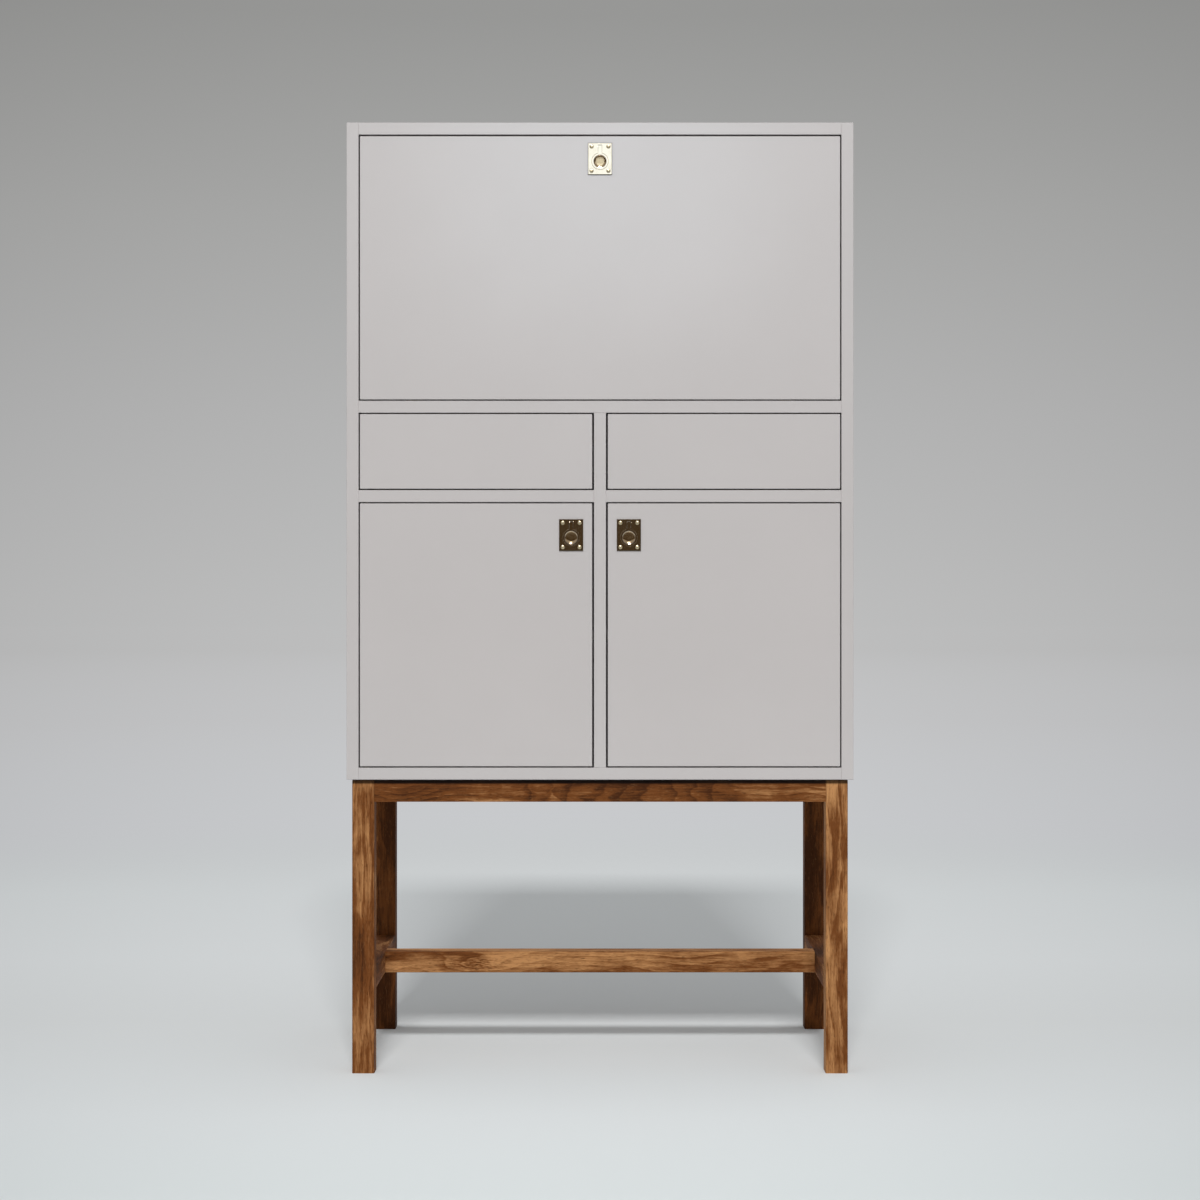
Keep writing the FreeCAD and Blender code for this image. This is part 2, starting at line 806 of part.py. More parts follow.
def front_rail():
    """Front rail, flush with the legs, with a tenon at each end."""
    outer_x, inner_x, outer_d, inner_d = leg_faces()
    rail = block(-inner_x, inner_x, outer_d, outer_d + rail_thickness, rail_level(), stand_height)
    reach = inner_x + corner_tenon()
    middle = outer_d + leg / 2
    half = tenon_thickness / 2
    tenon = block(-reach, reach, middle - half, middle + half,
                  rail_level() + tenon_shoulder, stand_height - tenon_shoulder)
    return join(rail, tenon.cut(block(-inner_x, inner_x, 0, carcass_depth, 0, stand_height)))


def side_rail():
    outer_x, inner_x, outer_d, inner_d = leg_faces()
    back = carcass_depth - inner_d
    rail = block(outer_x - rail_thickness, outer_x, inner_d, back, rail_level(), stand_height)
    half = tenon_thickness / 2
    middle = outer_x - leg / 2
    tenon = block(middle - half, middle + half, inner_d - corner_tenon(), back + corner_tenon(),
                  rail_level() + tenon_shoulder, stand_height - tenon_shoulder)
    return join(rail, tenon.cut(block(0, side_outer, inner_d, back, 0, stand_height)))


def side_stretcher_blank():
    outer_x, inner_x, outer_d, inner_d = leg_faces()
    back = carcass_depth - inner_d
    low = stretcher_top - stretcher_height
    bar = block(inner_x, outer_x, inner_d, back, low, stretcher_top)
    bar = bar.makeFillet(leg_edge_radius, edges_along(bar, Y_AXIS))
    half = tenon_thickness / 2
    middle = (inner_x + outer_x) / 2
    tenon = block(middle - half, middle + half, inner_d - stretcher_tenon,
                  back + stretcher_tenon, low + tenon_shoulder, stretcher_top - tenon_shoulder)
    return join(bar, tenon)


def centre_stretcher():
    outer_x, inner_x, outer_d, inner_d = leg_faces()
    middle = carcass_depth / 2
    low = stretcher_top - stretcher_height
    bar = block(-inner_x, inner_x, middle - stretcher_width / 2, middle + stretcher_width / 2,
                low, stretcher_top)
    bar = bar.makeFillet(leg_edge_radius, edges_along(bar, X_AXIS))
    half = tenon_thickness / 2
    reach = inner_x + stretcher_tenon
    tenon = block(-reach, reach, middle - half, middle + half,
                  low + tenon_shoulder, stretcher_top - tenon_shoulder)
    return join(bar, tenon)


def front_leg():
    """Right front leg with the mortises of its two rails and its stretcher."""
    outer_x, inner_x, outer_d, inner_d = leg_faces()
    post = block(inner_x, outer_x, outer_d, inner_d, 0, stand_height)
    post = post.makeFillet(leg_edge_radius, edges_along(post, Z_AXIS))
    return post.cut([front_rail(), side_rail(), side_stretcher_blank()])


def to_back(shape):
    """The same piece at the back of the stand."""
    return shape.mirror(at(0, carcass_depth / 2, 0), Y_AXIS)


def stand_rail_with_holes(rail):
    return rail.cut([stand_screw_hole(x, d) for x, d in stand_screw_places()])


def stand_screw_hole(x, d):
    head_z = rail_level() + stand_screw_sink
    shank = flat_rod(stand_screw_radius, at(x, d, rail_level()), at(x, d, stand_height))
    sink = flat_rod(stand_screw_head_radius, at(x, d, rail_level()), at(x, d, head_z))
    return join(shank, sink)


def stand_pads():
    """Square pads on the leg tops; the carcass stands on them."""
    x = side_outer - leg_inset - leg / 2
    front = leg_inset + leg / 2
    half = pad_size / 2
    return [block(sign * x - half, sign * x + half, d - half, d + half,
                  stand_height, carcass_bottom)
            for sign in (-1, 1) for d in (front, carcass_depth - front)]


# ---------------------------------------------------------------- writing the nodes
def write_carcass():
    write("top_panel", top_panel())
    write("bottom_panel", bottom_panel())
    write("bar_floor", bar_floor_panel())
    write("centre_divider", centre_divider())
    write("back_panel", back_board())
    for sign, side in SIDES:
        write("side_panel_" + side, on_side(sign, side_panel()))
        write("drawer_shelf_" + side, on_side(sign, drawer_shelf()))
        write("cupboard_shelf_" + side, on_side(sign, inner_shelf(
            divider_face, side_inner, cupboard_shelf_bottom())))
    write("bar_shelf", inner_shelf(-side_inner, side_inner, bar_shelf_level()))
    side_pins = []
    for level in (bar_shelf_level(), cupboard_shelf_bottom()):
        side_pins += shelf_pins(side_inner - pin_reach, side_inner + pin_depth, level)
    through_pins = shelf_pins(-divider_face - pin_reach, divider_face + pin_reach,
                              cupboard_shelf_bottom())
    write("shelf_pins", *side_pins, *[mirrored(pin) for pin in side_pins], *through_pins)


def write_stand():
    side_mortise = centre_stretcher()
    for sign, side in SIDES:
        write("front_leg_" + side, on_side(sign, front_leg()))
        write("rear_leg_" + side, on_side(sign, to_back(front_leg())))
        write("side_rail_" + side, on_side(sign, side_rail()))
        write("side_stretcher_" + side, on_side(sign, side_stretcher_blank().cut(side_mortise)))
    write("front_rail", stand_rail_with_holes(front_rail()))
    write("rear_rail", stand_rail_with_holes(to_back(front_rail())))
    write("centre_stretcher", side_mortise)
    write("stand_screws", *[stand_screw(x, d) for x, d in stand_screw_places()])
    write("stand_pads", *stand_pads())


def write_flap():
    write("flap", flap_board())
    leaf = hinge_leaf_piece()
    base = hinge_base()
    pin = hinge_pin()
    write("flap_hinge_leaves", leaf, mirrored(leaf))
    write("flap_hinge_bases", base, mirrored(base))
    write("flap_hinge_pins", pin, mirrored(pin))
    for sign, side in SIDES:
        write("stay_arm_" + side, on_side(sign, stay_arm()))
    write("stay_side_brackets", stay_side_bracket(), mirrored(stay_side_bracket()))
    write("stay_flap_brackets", stay_flap_bracket(), mirrored(stay_flap_bracket()))
    write("flap_strike_plate", strike(0, bar_top))
    write_pull("flap", 0, bar_top - flap_gap_top - flap_pull_drop)


def write_doors():
    low, high = door_levels()
    catch_x = divider_face + catch_offset
    pivots = carcass_pivots()
    write("door_pivots", *pivots, *[mirrored(pivot) for pivot in pivots])
    write("magnet_catches", catch(0, bar_top), catch(catch_x, cupboard_top),
          catch(-catch_x, cupboard_top))
    for sign, side in SIDES:
        write("door_" + side, on_side(sign, door()))
        plates = [door_plate(low, 1), door_plate(high, -1), strike(catch_x, cupboard_top)]
        write("door_fittings_" + side, *[on_side(sign, plate) for plate in plates])
        write_pull("door_" + side, sign * door_pull_middle(), high - door_pull_drop)


def write_drawers():
    cabinet_members = []
    for sign, side in SIDES:
        runners = [runner_members(divider_face, 1), runner_members(side_inner, -1)]
        write("drawer_front_" + side, on_side(sign, drawer_front()))
        write("drawer_sides_" + side, *[on_side(sign, board) for board in drawer_sides()])
        write("drawer_back_" + side, on_side(sign, drawer_back()))
        write("drawer_bottom_" + side, on_side(sign, drawer_bottom_board()))
        write("runner_middles_" + side, *[on_side(sign, members[1]) for members in runners])
        write("runner_drawer_members_" + side,
              *[on_side(sign, members[2]) for members in runners])
        cabinet_members += [on_side(sign, members[0]) for members in runners]
    write("runner_cabinet_members", *cabinet_members)


os.makedirs("parts", exist_ok=True)
write_carcass()
write_stand()
write_flap()
write_doors()
write_drawers()
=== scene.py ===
"""Looks of the bar cabinet with fold-out shelf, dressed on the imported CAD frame. Metres."""
from math import asin, cos, hypot, pi, radians, sin

import bmesh
import bpy
from mathutils import Matrix, Vector


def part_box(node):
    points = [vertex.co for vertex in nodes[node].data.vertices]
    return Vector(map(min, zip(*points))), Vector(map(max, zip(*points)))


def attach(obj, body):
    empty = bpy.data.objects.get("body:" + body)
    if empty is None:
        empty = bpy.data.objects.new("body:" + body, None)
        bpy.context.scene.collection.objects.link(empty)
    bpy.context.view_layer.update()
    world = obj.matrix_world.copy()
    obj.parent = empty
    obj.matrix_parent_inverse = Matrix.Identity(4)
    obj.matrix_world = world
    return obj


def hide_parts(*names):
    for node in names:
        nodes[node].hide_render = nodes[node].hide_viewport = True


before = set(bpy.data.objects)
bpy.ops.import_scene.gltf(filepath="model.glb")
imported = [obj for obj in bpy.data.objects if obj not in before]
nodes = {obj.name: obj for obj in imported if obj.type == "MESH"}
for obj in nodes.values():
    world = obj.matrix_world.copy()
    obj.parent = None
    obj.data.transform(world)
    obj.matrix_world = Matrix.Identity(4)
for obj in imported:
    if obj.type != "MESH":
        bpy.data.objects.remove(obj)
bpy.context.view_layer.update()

# ---------------------------------------- walnut stand
# Four square legs, rails and stretchers of solid walnut, planed, tenoned, glued and oiled.
# The grain runs along each piece: up the legs, across the front and rear rails and the
# centre stretcher, and from front to back along the sides.
WALNUT_PALE = (0.50, 0.242, 0.092)
WALNUT_MID = (0.160, 0.050, 0.010)
WALNUT_DARK = (0.055, 0.015, 0.002)
WALNUT_PORE = (0.035, 0.010, 0.002)
# The near-black colour on the next line is painted shade for the stand's tops under the
# carcass.
WALNUT_PAINTED_SHADE = (0.004, 0.001, 0.0005)
WALNUT_GLOSS = 0.12
WALNUT_RELIEF = 0.0001
PAINTED_SHADE_FROM = 0.4562                # painted shade: the tops of the stand turn near black under the carcass, where its shadow falls
PAINTED_SHADE_FULL = 0.4602
GROWTH_LINES = 62.0                # per metre across the board
FINE_LINES = 3.0                   # to each growth line
LINE_SWELL = 2.2                   # how late in its year a line turns dark
LINE_EDGE = 0.86                   # and where it breaks off
KNOT_STRETCH = (19.0, 80.0, 80.0)  # a knot's size, as one over its half lengths
KNOT_FADE = 1.3
KNOT_PUSH = 1.4                    # growth lines that a knot pushes aside
FLAME_LINES = 26.0                 # per metre along the board, where they turn upright
FLAME_FULL = 0.12                  # half length of a flame, and where it has gone
FLAME_END = 0.24
WALNUT_LEVEL = -4.02               # brings the sum of the shares round nought


def feed(tree, socket, value):
    """Links an output to a socket, or sets the socket to a plain value."""
    if isinstance(value, bpy.types.NodeSocket):
        tree.links.new(value, socket)
    elif value is not None:
        socket.default_value = value


def feed_all(tree, node, **inputs):
    """Feeds inputs by name, with _ for a space."""
    for name, value in inputs.items():
        feed(tree, node.inputs[name.replace("_", " ")], value)


def add_node(tree, kind, settings=None, **inputs):
    """A node with its properties set and its inputs fed."""
    node = tree.nodes.new(kind)
    for name, value in (settings or {}).items():
        setattr(node, name, value)
    feed_all(tree, node, **inputs)
    return node


def calculate(tree, operation, first, second=None, kind="ShaderNodeMath"):
    """A sum of one or two operands, each a value or an output socket."""
    node = add_node(tree, kind, {"operation": operation})
    feed(tree, node.inputs[0], first)
    feed(tree, node.inputs[1], second)
    return node.outputs[0]


def times(tree, first, second):
    return calculate(tree, "MULTIPLY", first, second)


def blend_colours(tree, share, first, second):
    """Mix of two colours; each colour is a triple or an output socket."""
    node = add_node(tree, "ShaderNodeMix", {"data_type": "RGBA"}, Factor=share)
    for socket, colour in ((node.inputs[6], first), (node.inputs[7], second)):
        feed(tree, socket, (*colour, 1.0) if isinstance(colour, tuple) else colour)
    return node.outputs[2]


def stretch(tree, vector, scale):
    """The vector scaled along each axis."""
    return add_node(tree, "ShaderNodeMapping", Vector=vector, Scale=scale).outputs["Vector"]


def noise(tree, vector, detail=3.0, roughness=0.5, distortion=0.0):
    """Soft noise from 0 to 1, read at the scale that the vector already has."""
    return add_node(tree, "ShaderNodeTexNoise", Vector=vector, Scale=1.0, Detail=detail,
                    Roughness=roughness, Distortion=distortion).outputs["Fac"]


def between(tree, value, low, high, smooth=True):
    """0 below low, 1 above high."""
    ramp = {"interpolation_type": "SMOOTHSTEP" if smooth else "LINEAR"}
    return add_node(tree, "ShaderNodeMapRange", ramp, Value=value, From_Min=low,
                    From_Max=high).outputs["Result"]


def new_effect(name, inputs, outputs):
    """An empty node group with its sockets; returns it with its two end nodes."""
    group = bpy.data.node_groups.new(name, "ShaderNodeTree")
    for socket, kind in inputs:
        group.interface.new_socket(socket, in_out="INPUT", socket_type="NodeSocket" + kind)
    for socket, kind in outputs:
        group.interface.new_socket(socket, in_out="OUTPUT", socket_type="NodeSocket" + kind)
    return group, group.nodes.new("NodeGroupInput"), group.nodes.new("NodeGroupOutput")


def total(tree, *terms):
    """Sum of weighted values: (weight, socket) pairs, and one plain number."""
    result = terms[-1]
    for weight, value in terms[:-1]:
        result = calculate(tree, "ADD", times(tree, value, weight), result)
    return result


def object_place(tree):
    return tree.nodes.new("ShaderNodeTexCoord").outputs["Object"]


def axis_of(tree, vector, axis):
    """One coordinate of a vector."""
    return add_node(tree, "ShaderNodeSeparateXYZ", Vector=vector).outputs[axis]


def length_of(tree, vector):
    node = add_node(tree, "ShaderNodeVectorMath", {"operation": "LENGTH"}, Vector=vector)
    return node.outputs["Value"]


def growth_line(tree, phase):
    """A line for each whole step of the phase, dark at its late edge."""
    band = calculate(tree, "FRACT", phase)
    return times(tree, calculate(tree, "POWER", band, LINE_SWELL),
                 calculate(tree, "SUBTRACT", 1.0, between(tree, band, LINE_EDGE, 1.0)))


def walnut_figure():
    """Growth lines, curl, fibres, flecks, pores and one knot, and painted shade at the top; the
    grain runs along X.
    """
    group, ends, out = new_effect(
        "walnut figure",
        [("Vector", "Vector"), ("Knot", "Vector"), ("Wander", "Float"), ("Depth", "Float"),
         ("Flame", "Float"), ("Level", "Float"), ("Stain", "Float")],
        [("Color", "Color"), ("Roughness", "Float"), ("Height", "Float")])
    along = ends.outputs["Vector"]

    def grain(lengthwise, crosswise, *character):
        """Noise with so many waves per metre along and across the grain."""
        return noise(group, stretch(group, along, (lengthwise, crosswise, crosswise)),
                     *character)

    # A knot pushes the growth lines aside and darkens the wood round it.
    offset = calculate(group, "SUBTRACT", along, ends.outputs["Knot"], "ShaderNodeVectorMath")
    reach = length_of(group, stretch(group, offset, KNOT_STRETCH))
    knot = calculate(group, "SUBTRACT", 1.0, between(group, reach, 0.0, KNOT_FADE))
    # Growth lines: a ramp across the board that wanders along it, stronger here and there.
    drift = grain(4.2, 11.0, 1.5, 0.45)
    ripple = grain(26.0, 90.0, 2.0)
    strength = grain(5.0, 20.0, 1.0)
    across = calculate(group, "ADD", axis_of(group, along, "Y"), axis_of(group, along, "Z"))
    wander = times(group, drift, ends.outputs["Wander"])
    phase = total(group, (GROWTH_LINES, across), (1.0, wander), (0.7, ripple),
                  (KNOT_PUSH, knot), 0.0)
    fine = calculate(group, "FRACT", times(group, phase, FINE_LINES))
    line = times(group, growth_line(group, phase), between(group, strength, 0.25, 0.65))
    # Wide pale and dark stretches, a curl that shines across the grain, and the fibres.
    stretches = grain(4.0, 18.0, 2.0, 0.5, 0.4)
    curl = grain(21.0, 26.0, 2.0, 0.5, 0.8)
    streak = grain(10.0, 170.0, 2.0, 0.6)
    fibre = grain(26.0, 480.0, 3.0, 0.65)
    dash = grain(120.0, 560.0, 2.0)
    fleck = between(group, dash, 0.58, 0.72)
    pore = between(group, grain(90.0, 1300.0, 1.0), 0.6, 0.68)
    burr = times(group, knot, between(group, dash, 0.3, 0.65))
    # Round the knot's place the growth lines turn upright in a flame, by its strength.
    beside = calculate(group, "ABSOLUTE", axis_of(group, offset, "X"))
    flare = calculate(group, "SUBTRACT", 1.0, between(group, beside, FLAME_FULL, FLAME_END))
    flare = times(group, flare, ends.outputs["Flame"])
    sway = grain(13.0, 34.0, 2.0, 0.5)
    lengthwise = axis_of(group, along, "X")
    upright = growth_line(group, total(group, (FLAME_LINES, lengthwise), (2.1, sway), 0.0))
    flame = times(group, flare, upright)
    # How dark the wood is, from pale through its middle tone to dark.
    depth = total(group, (0.75, line), (0.1, fine), (3.9, stretches), (1.2, curl),
                  (0.9, streak), (1.7, fibre), (0.6, dash), (0.9, burr), (0.8, flame),
                  (-0.2, flare), WALNUT_LEVEL)
    depth = calculate(group, "ADD", depth, ends.outputs["Depth"])
    colour = blend_colours(group, between(group, depth, -0.5, 0.5, smooth=False),
                           WALNUT_PALE, WALNUT_MID)
    colour = blend_colours(group, between(group, depth, 0.5, 1.6), colour, WALNUT_DARK)
    colour = blend_colours(group, times(group, fleck, 0.12), colour, WALNUT_PALE)
    colour = blend_colours(group, times(group, pore, 0.6), colour, WALNUT_PORE)
    # Painted shade: near its top, under the carcass, the wood turns near black for the
    # carcass's shadow.
    painted_shade = times(group, ends.outputs["Stain"],
                  between(group, ends.outputs["Level"], PAINTED_SHADE_FROM, PAINTED_SHADE_FULL))
    colour = blend_colours(group, painted_shade, colour, WALNUT_PAINTED_SHADE)
    feed_all(group, out, Color=colour,
             Roughness=total(group, (0.2, fibre), (0.2, pore), 0.54),
             Height=total(group, (-0.5, fibre), (-1.0, pore), 0.0))
    return group


def new_finish(name):
    """A material with its Principled shader; returns material, tree and shader."""
    material = bpy.data.materials.new(name)
    material.use_nodes = True
    tree = material.node_tree
    return material, tree, tree.nodes["Principled BSDF"]


def place_effect(tree, effect, turn=(0.0, 0.0, 0.0), **inputs):
    """Outputs of an effect group, placed in a material on turned Object coordinates."""
    turned_place = add_node(tree, "ShaderNodeMapping", Vector=object_place(tree),
                            Rotation=turn).outputs["Vector"]
    return add_node(tree, "ShaderNodeGroup", {"node_tree": effect}, Vector=turned_place,
                    **inputs).outputs


def add_bump(tree, shader, height, distance):
    bump = add_node(tree, "ShaderNodeBump", Strength=1.0, Distance=distance, Height=height)
    feed(tree, shader.inputs["Normal"], bump.outputs["Normal"])


def finish_nodes(material, *names):
    """Gives CAD nodes one material all over."""
    for name in names:
        mesh = nodes[name].data
        mesh.materials.clear()
        mesh.materials.append(material)


def oiled_walnut(name, members, turn, wander, depth, knot, flame=0.0, painted_shade=0.75):
    """Walnut on these members, its grain turned along them, the knot's place with it, and
    painted shade at its top under the carcass, as strong as given.
    """
    material, tree, shader = new_finish(name)
    figure = place_effect(tree, WALNUT_FIGURE, turn, Wander=wander, Depth=depth, Knot=knot,
                          Flame=flame, Stain=painted_shade,
                          Level=axis_of(tree, object_place(tree), "Z"))
    feed_all(tree, shader, Base_Color=figure["Color"], Roughness=figure["Roughness"],
             Specular_IOR_Level=WALNUT_GLOSS)
    add_bump(tree, shader, figure["Height"], WALNUT_RELIEF)
    finish_nodes(material, *members)


WALNUT_FIGURE = walnut_figure()
ACROSS = (0.0, 0.0, 0.0)
FRONT_TO_BACK = (0.0, 0.0, radians(90))
UPRIGHT = (0.0, radians(90), 0.0)
# The rails' darker tone is partly their boards' own tone and partly painted shade under the
# carcass's overhang.
oiled_walnut("walnut rail", ("front_rail", "rear_rail"), ACROSS, wander=17.0, depth=0.3,
             knot=(0.02, -0.2, 0.5), flame=1.0, painted_shade=0.92)
oiled_walnut("walnut stretcher", ("centre_stretcher",), ACROSS, wander=8.0, depth=-0.38,
             knot=(-0.205, -0.018, 0.143))
oiled_walnut("walnut side members", ("side_rail_left", "side_stretcher_left",
             "side_rail_right", "side_stretcher_right"), FRONT_TO_BACK, wander=9.0,
             depth=0.3, knot=(0.1, 0.38, 0.15))
# The rear legs are made much darker than the other members: painted shade for the carcass's
# shadow on them.
oiled_walnut("walnut rear legs", ("rear_leg_left", "rear_leg_right"), UPRIGHT, wander=6.0,
             depth=0.97, knot=(-0.2, 0.4, 0.2))
for side, depth in (("left", 0.06), ("right", -0.52)):
    oiled_walnut("walnut front leg " + side, ("front_leg_" + side,), UPRIGHT, wander=6.0,
                 depth=depth, knot=(-0.2, -0.4, 0.2))

# ---------------------------------------- stand pads and screws
# Thin felt pads on the leg tops carry the carcass, which four zinc-plated steel screws
# hold from below, through counterbored holes in the rails.
FELT = (0.018, 0.017, 0.016)
FELT_LINT = (0.05, 0.048, 0.045)
FELT_RELIEF = 0.0004
ZINC = (0.52, 0.53, 0.55)
ZINC_BRIGHT = (0.68, 0.69, 0.7)
ZINC_SPANGLE = 260.0  # speckles per metre
SPECKLE_RELIEF = 0.00005


def scaled(tree, vector, scale):
    """A vector or a colour times a number."""
    return add_node(tree, "ShaderNodeVectorMath", {"operation": "SCALE"}, Vector=vector,
                    Scale=scale).outputs[0]


def speckle():
    """Fine even speckle for felt, moulded plastic and blasted metal."""
    group, ends, out = new_effect("speckle", [("Vector", "Vector"), ("Scale", "Float")],
                                  [("Value", "Float")])
    along = scaled(group, ends.outputs["Vector"], ends.outputs["Scale"])
    feed_all(group, out, Value=noise(group, along, 4.0, 0.6))
    return group


def speckled(name, colour, second, scale, roughness, metallic=0.0, relief=SPECKLE_RELIEF):
    """Two colours in fine speckles, so many per metre, a little rough and raised."""
    material, tree, shader = new_finish(name)
    grain = place_effect(tree, SPECKLE, Scale=scale)["Value"]
    feed_all(tree, shader, Base_Color=blend_colours(tree, grain, colour, second),
             Metallic=metallic, Roughness=total(tree, (0.2, grain), roughness - 0.1))
    add_bump(tree, shader, grain, relief)
    return material


SPECKLE = speckle()
black_felt = speckled("black felt", FELT, FELT_LINT, scale=3000.0, roughness=0.95,
                      relief=FELT_RELIEF)
zinc_plate = speckled("zinc-plated steel", ZINC, ZINC_BRIGHT, scale=ZINC_SPANGLE,
                      roughness=0.32, metallic=1.0)
finish_nodes(black_felt, "stand_pads")
finish_nodes(zinc_plate, "stand_screws")

# ---------------------------------------- lacquered carcass
# Panels of 19 mm fibreboard, sprayed on every face with a warm light grey lacquer and
# glued and dowelled together. The back is a thinner sheet in a rebate, a little below the
# rear edges of the panels and screwed all round with slotted zinc-plated screws.
LACQUER = (0.549, 0.515, 0.508)
LACQUER_SHADE = (0.536, 0.503, 0.496)
LACQUER_ROUGHNESS = 0.24
COAT_ROUGHNESS = 0.22
PEEL_SIZE = (420.0, 420.0, 420.0)  # waves per metre of the orange peel
PEEL_RELIEF = 0.000012
DRIFT_SIZE = (5.0, 5.0, 5.0)


def sprayed_coat():
    """Orange peel of a sprayed coat, with a faint drift of its tone."""
    group, ends, out = new_effect("sprayed coat", [("Vector", "Vector")],
                                  [("Tone", "Float"), ("Peel", "Float")])
    along = ends.outputs["Vector"]
    peel = noise(group, stretch(group, along, PEEL_SIZE), 2.0, 0.4)
    drift = noise(group, stretch(group, along, DRIFT_SIZE), 3.0)
    feed_all(group, out, Tone=between(group, drift, 0.3, 0.7), Peel=peel)
    return group


def lacquered():
    material, tree, shader = new_finish("warm grey lacquer")
    coat = place_effect(tree, sprayed_coat())
    tone = coat["Tone"]
    feed_all(tree, shader, Base_Color=blend_colours(tree, tone, LACQUER, LACQUER_SHADE),
             Roughness=total(tree, (0.03, tone), LACQUER_ROUGHNESS), IOR=1.5,
             Coat_Weight=1.0, Coat_Roughness=COAT_ROUGHNESS)
    add_bump(tree, shader, coat["Peel"], PEEL_RELIEF)
    return material


grey_lacquer = lacquered()
finish_nodes(grey_lacquer, "side_panel_left", "side_panel_right", "top_panel", "bottom_panel",
             "bar_floor", "centre_divider", "drawer_shelf_left", "drawer_shelf_right",
             "back_panel")

MM = 0.001
BACK_RECESS = 0.4 * MM
BACK_SCREW_INSET = 5.0 * MM
BACK_SCREWS_HIGH = 7     # up each side
BACK_SCREWS_BETWEEN = 3  # across the top and the bottom
SCREW_SEED = 7
SCREW_TURN = 1.2         # each screw stops within so many radians of level
SLOT_WIDTH = 0.22        # of the head's radius
SLOT_LEVEL = 0.6         # middle of the slot's cutter, of the dome's height
SLOT_LENGTH = 3.0        # right across, in radii
RIM_STEPS = 40           # flats round a head's rim
HEAD_STEPS = 64          # and round its dome
ROUND_STEPS = 96
SMOOTH_ANGLE = radians(32)
SQUARE_FACE = 0.99999    # a normal this near to an axis is square to it


def new_object(name, data):
    """A new object in the scene, at the origin."""
    made = bpy.data.objects.new(name, data)
    bpy.context.scene.collection.objects.link(made)
    return made


def as_object(name, form):
    """Turns a bmesh into an object."""
    bmesh.ops.recalc_face_normals(form, faces=form.faces)
    mesh = bpy.data.meshes.new(name)
    form.to_mesh(mesh)
    form.free()
    return new_object(name, mesh)


def rounded(form, edges, radius, steps):
    """Rounds edges over to a radius."""
    bmesh.ops.bevel(form, geom=edges, offset=radius, segments=steps, profile=0.5,
                    affect="EDGES")


def brick(name, low, high, bevel=0.0, steps=3, only=None):
    """A block between two corners; the edges that the test only picks are rounded."""
    form = bmesh.new()
    bmesh.ops.create_cube(form, size=1.0)
    for vertex in form.verts:
        for axis in range(3):
            share = vertex.co[axis] + 0.5
            vertex.co[axis] = low[axis] + share * (high[axis] - low[axis])
    if bevel:
        rounded(form, [edge for edge in form.edges if only(edge)], bevel, steps)
    return as_object(name, form)


def plain(piece, name):
    """The evaluated piece as a plain mesh object; the working object goes."""
    bpy.context.view_layer.update()
    graph = bpy.context.evaluated_depsgraph_get()
    mesh = bpy.data.meshes.new_from_object(piece.evaluated_get(graph))
    bpy.data.objects.remove(piece)
    mesh.name = name
    return new_object(name, mesh)


def smooth(piece):
    """Curved faces shade smoothly; flat faces square to the axes stay flat."""
    piece.data.set_sharp_from_angle(angle=SMOOTH_ANGLE)
    for face in piece.data.polygons:
        face.use_smooth = max(abs(part) for part in face.normal) < SQUARE_FACE
    outlines = {key for face in piece.data.polygons if not face.use_smooth
                for key in face.edge_keys}
    for edge in piece.data.edges:
        if edge.key in outlines:
            edge.use_edge_sharp = True


def dress(piece, material, slot, body, *replaced):
    """Material, body and the CAD nodes that a finished piece stands for; the record slot is not
    used.
    """
    piece.data.materials.clear()
    piece.data.materials.append(material)
    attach(piece, body)
    if replaced:
        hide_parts(*replaced)


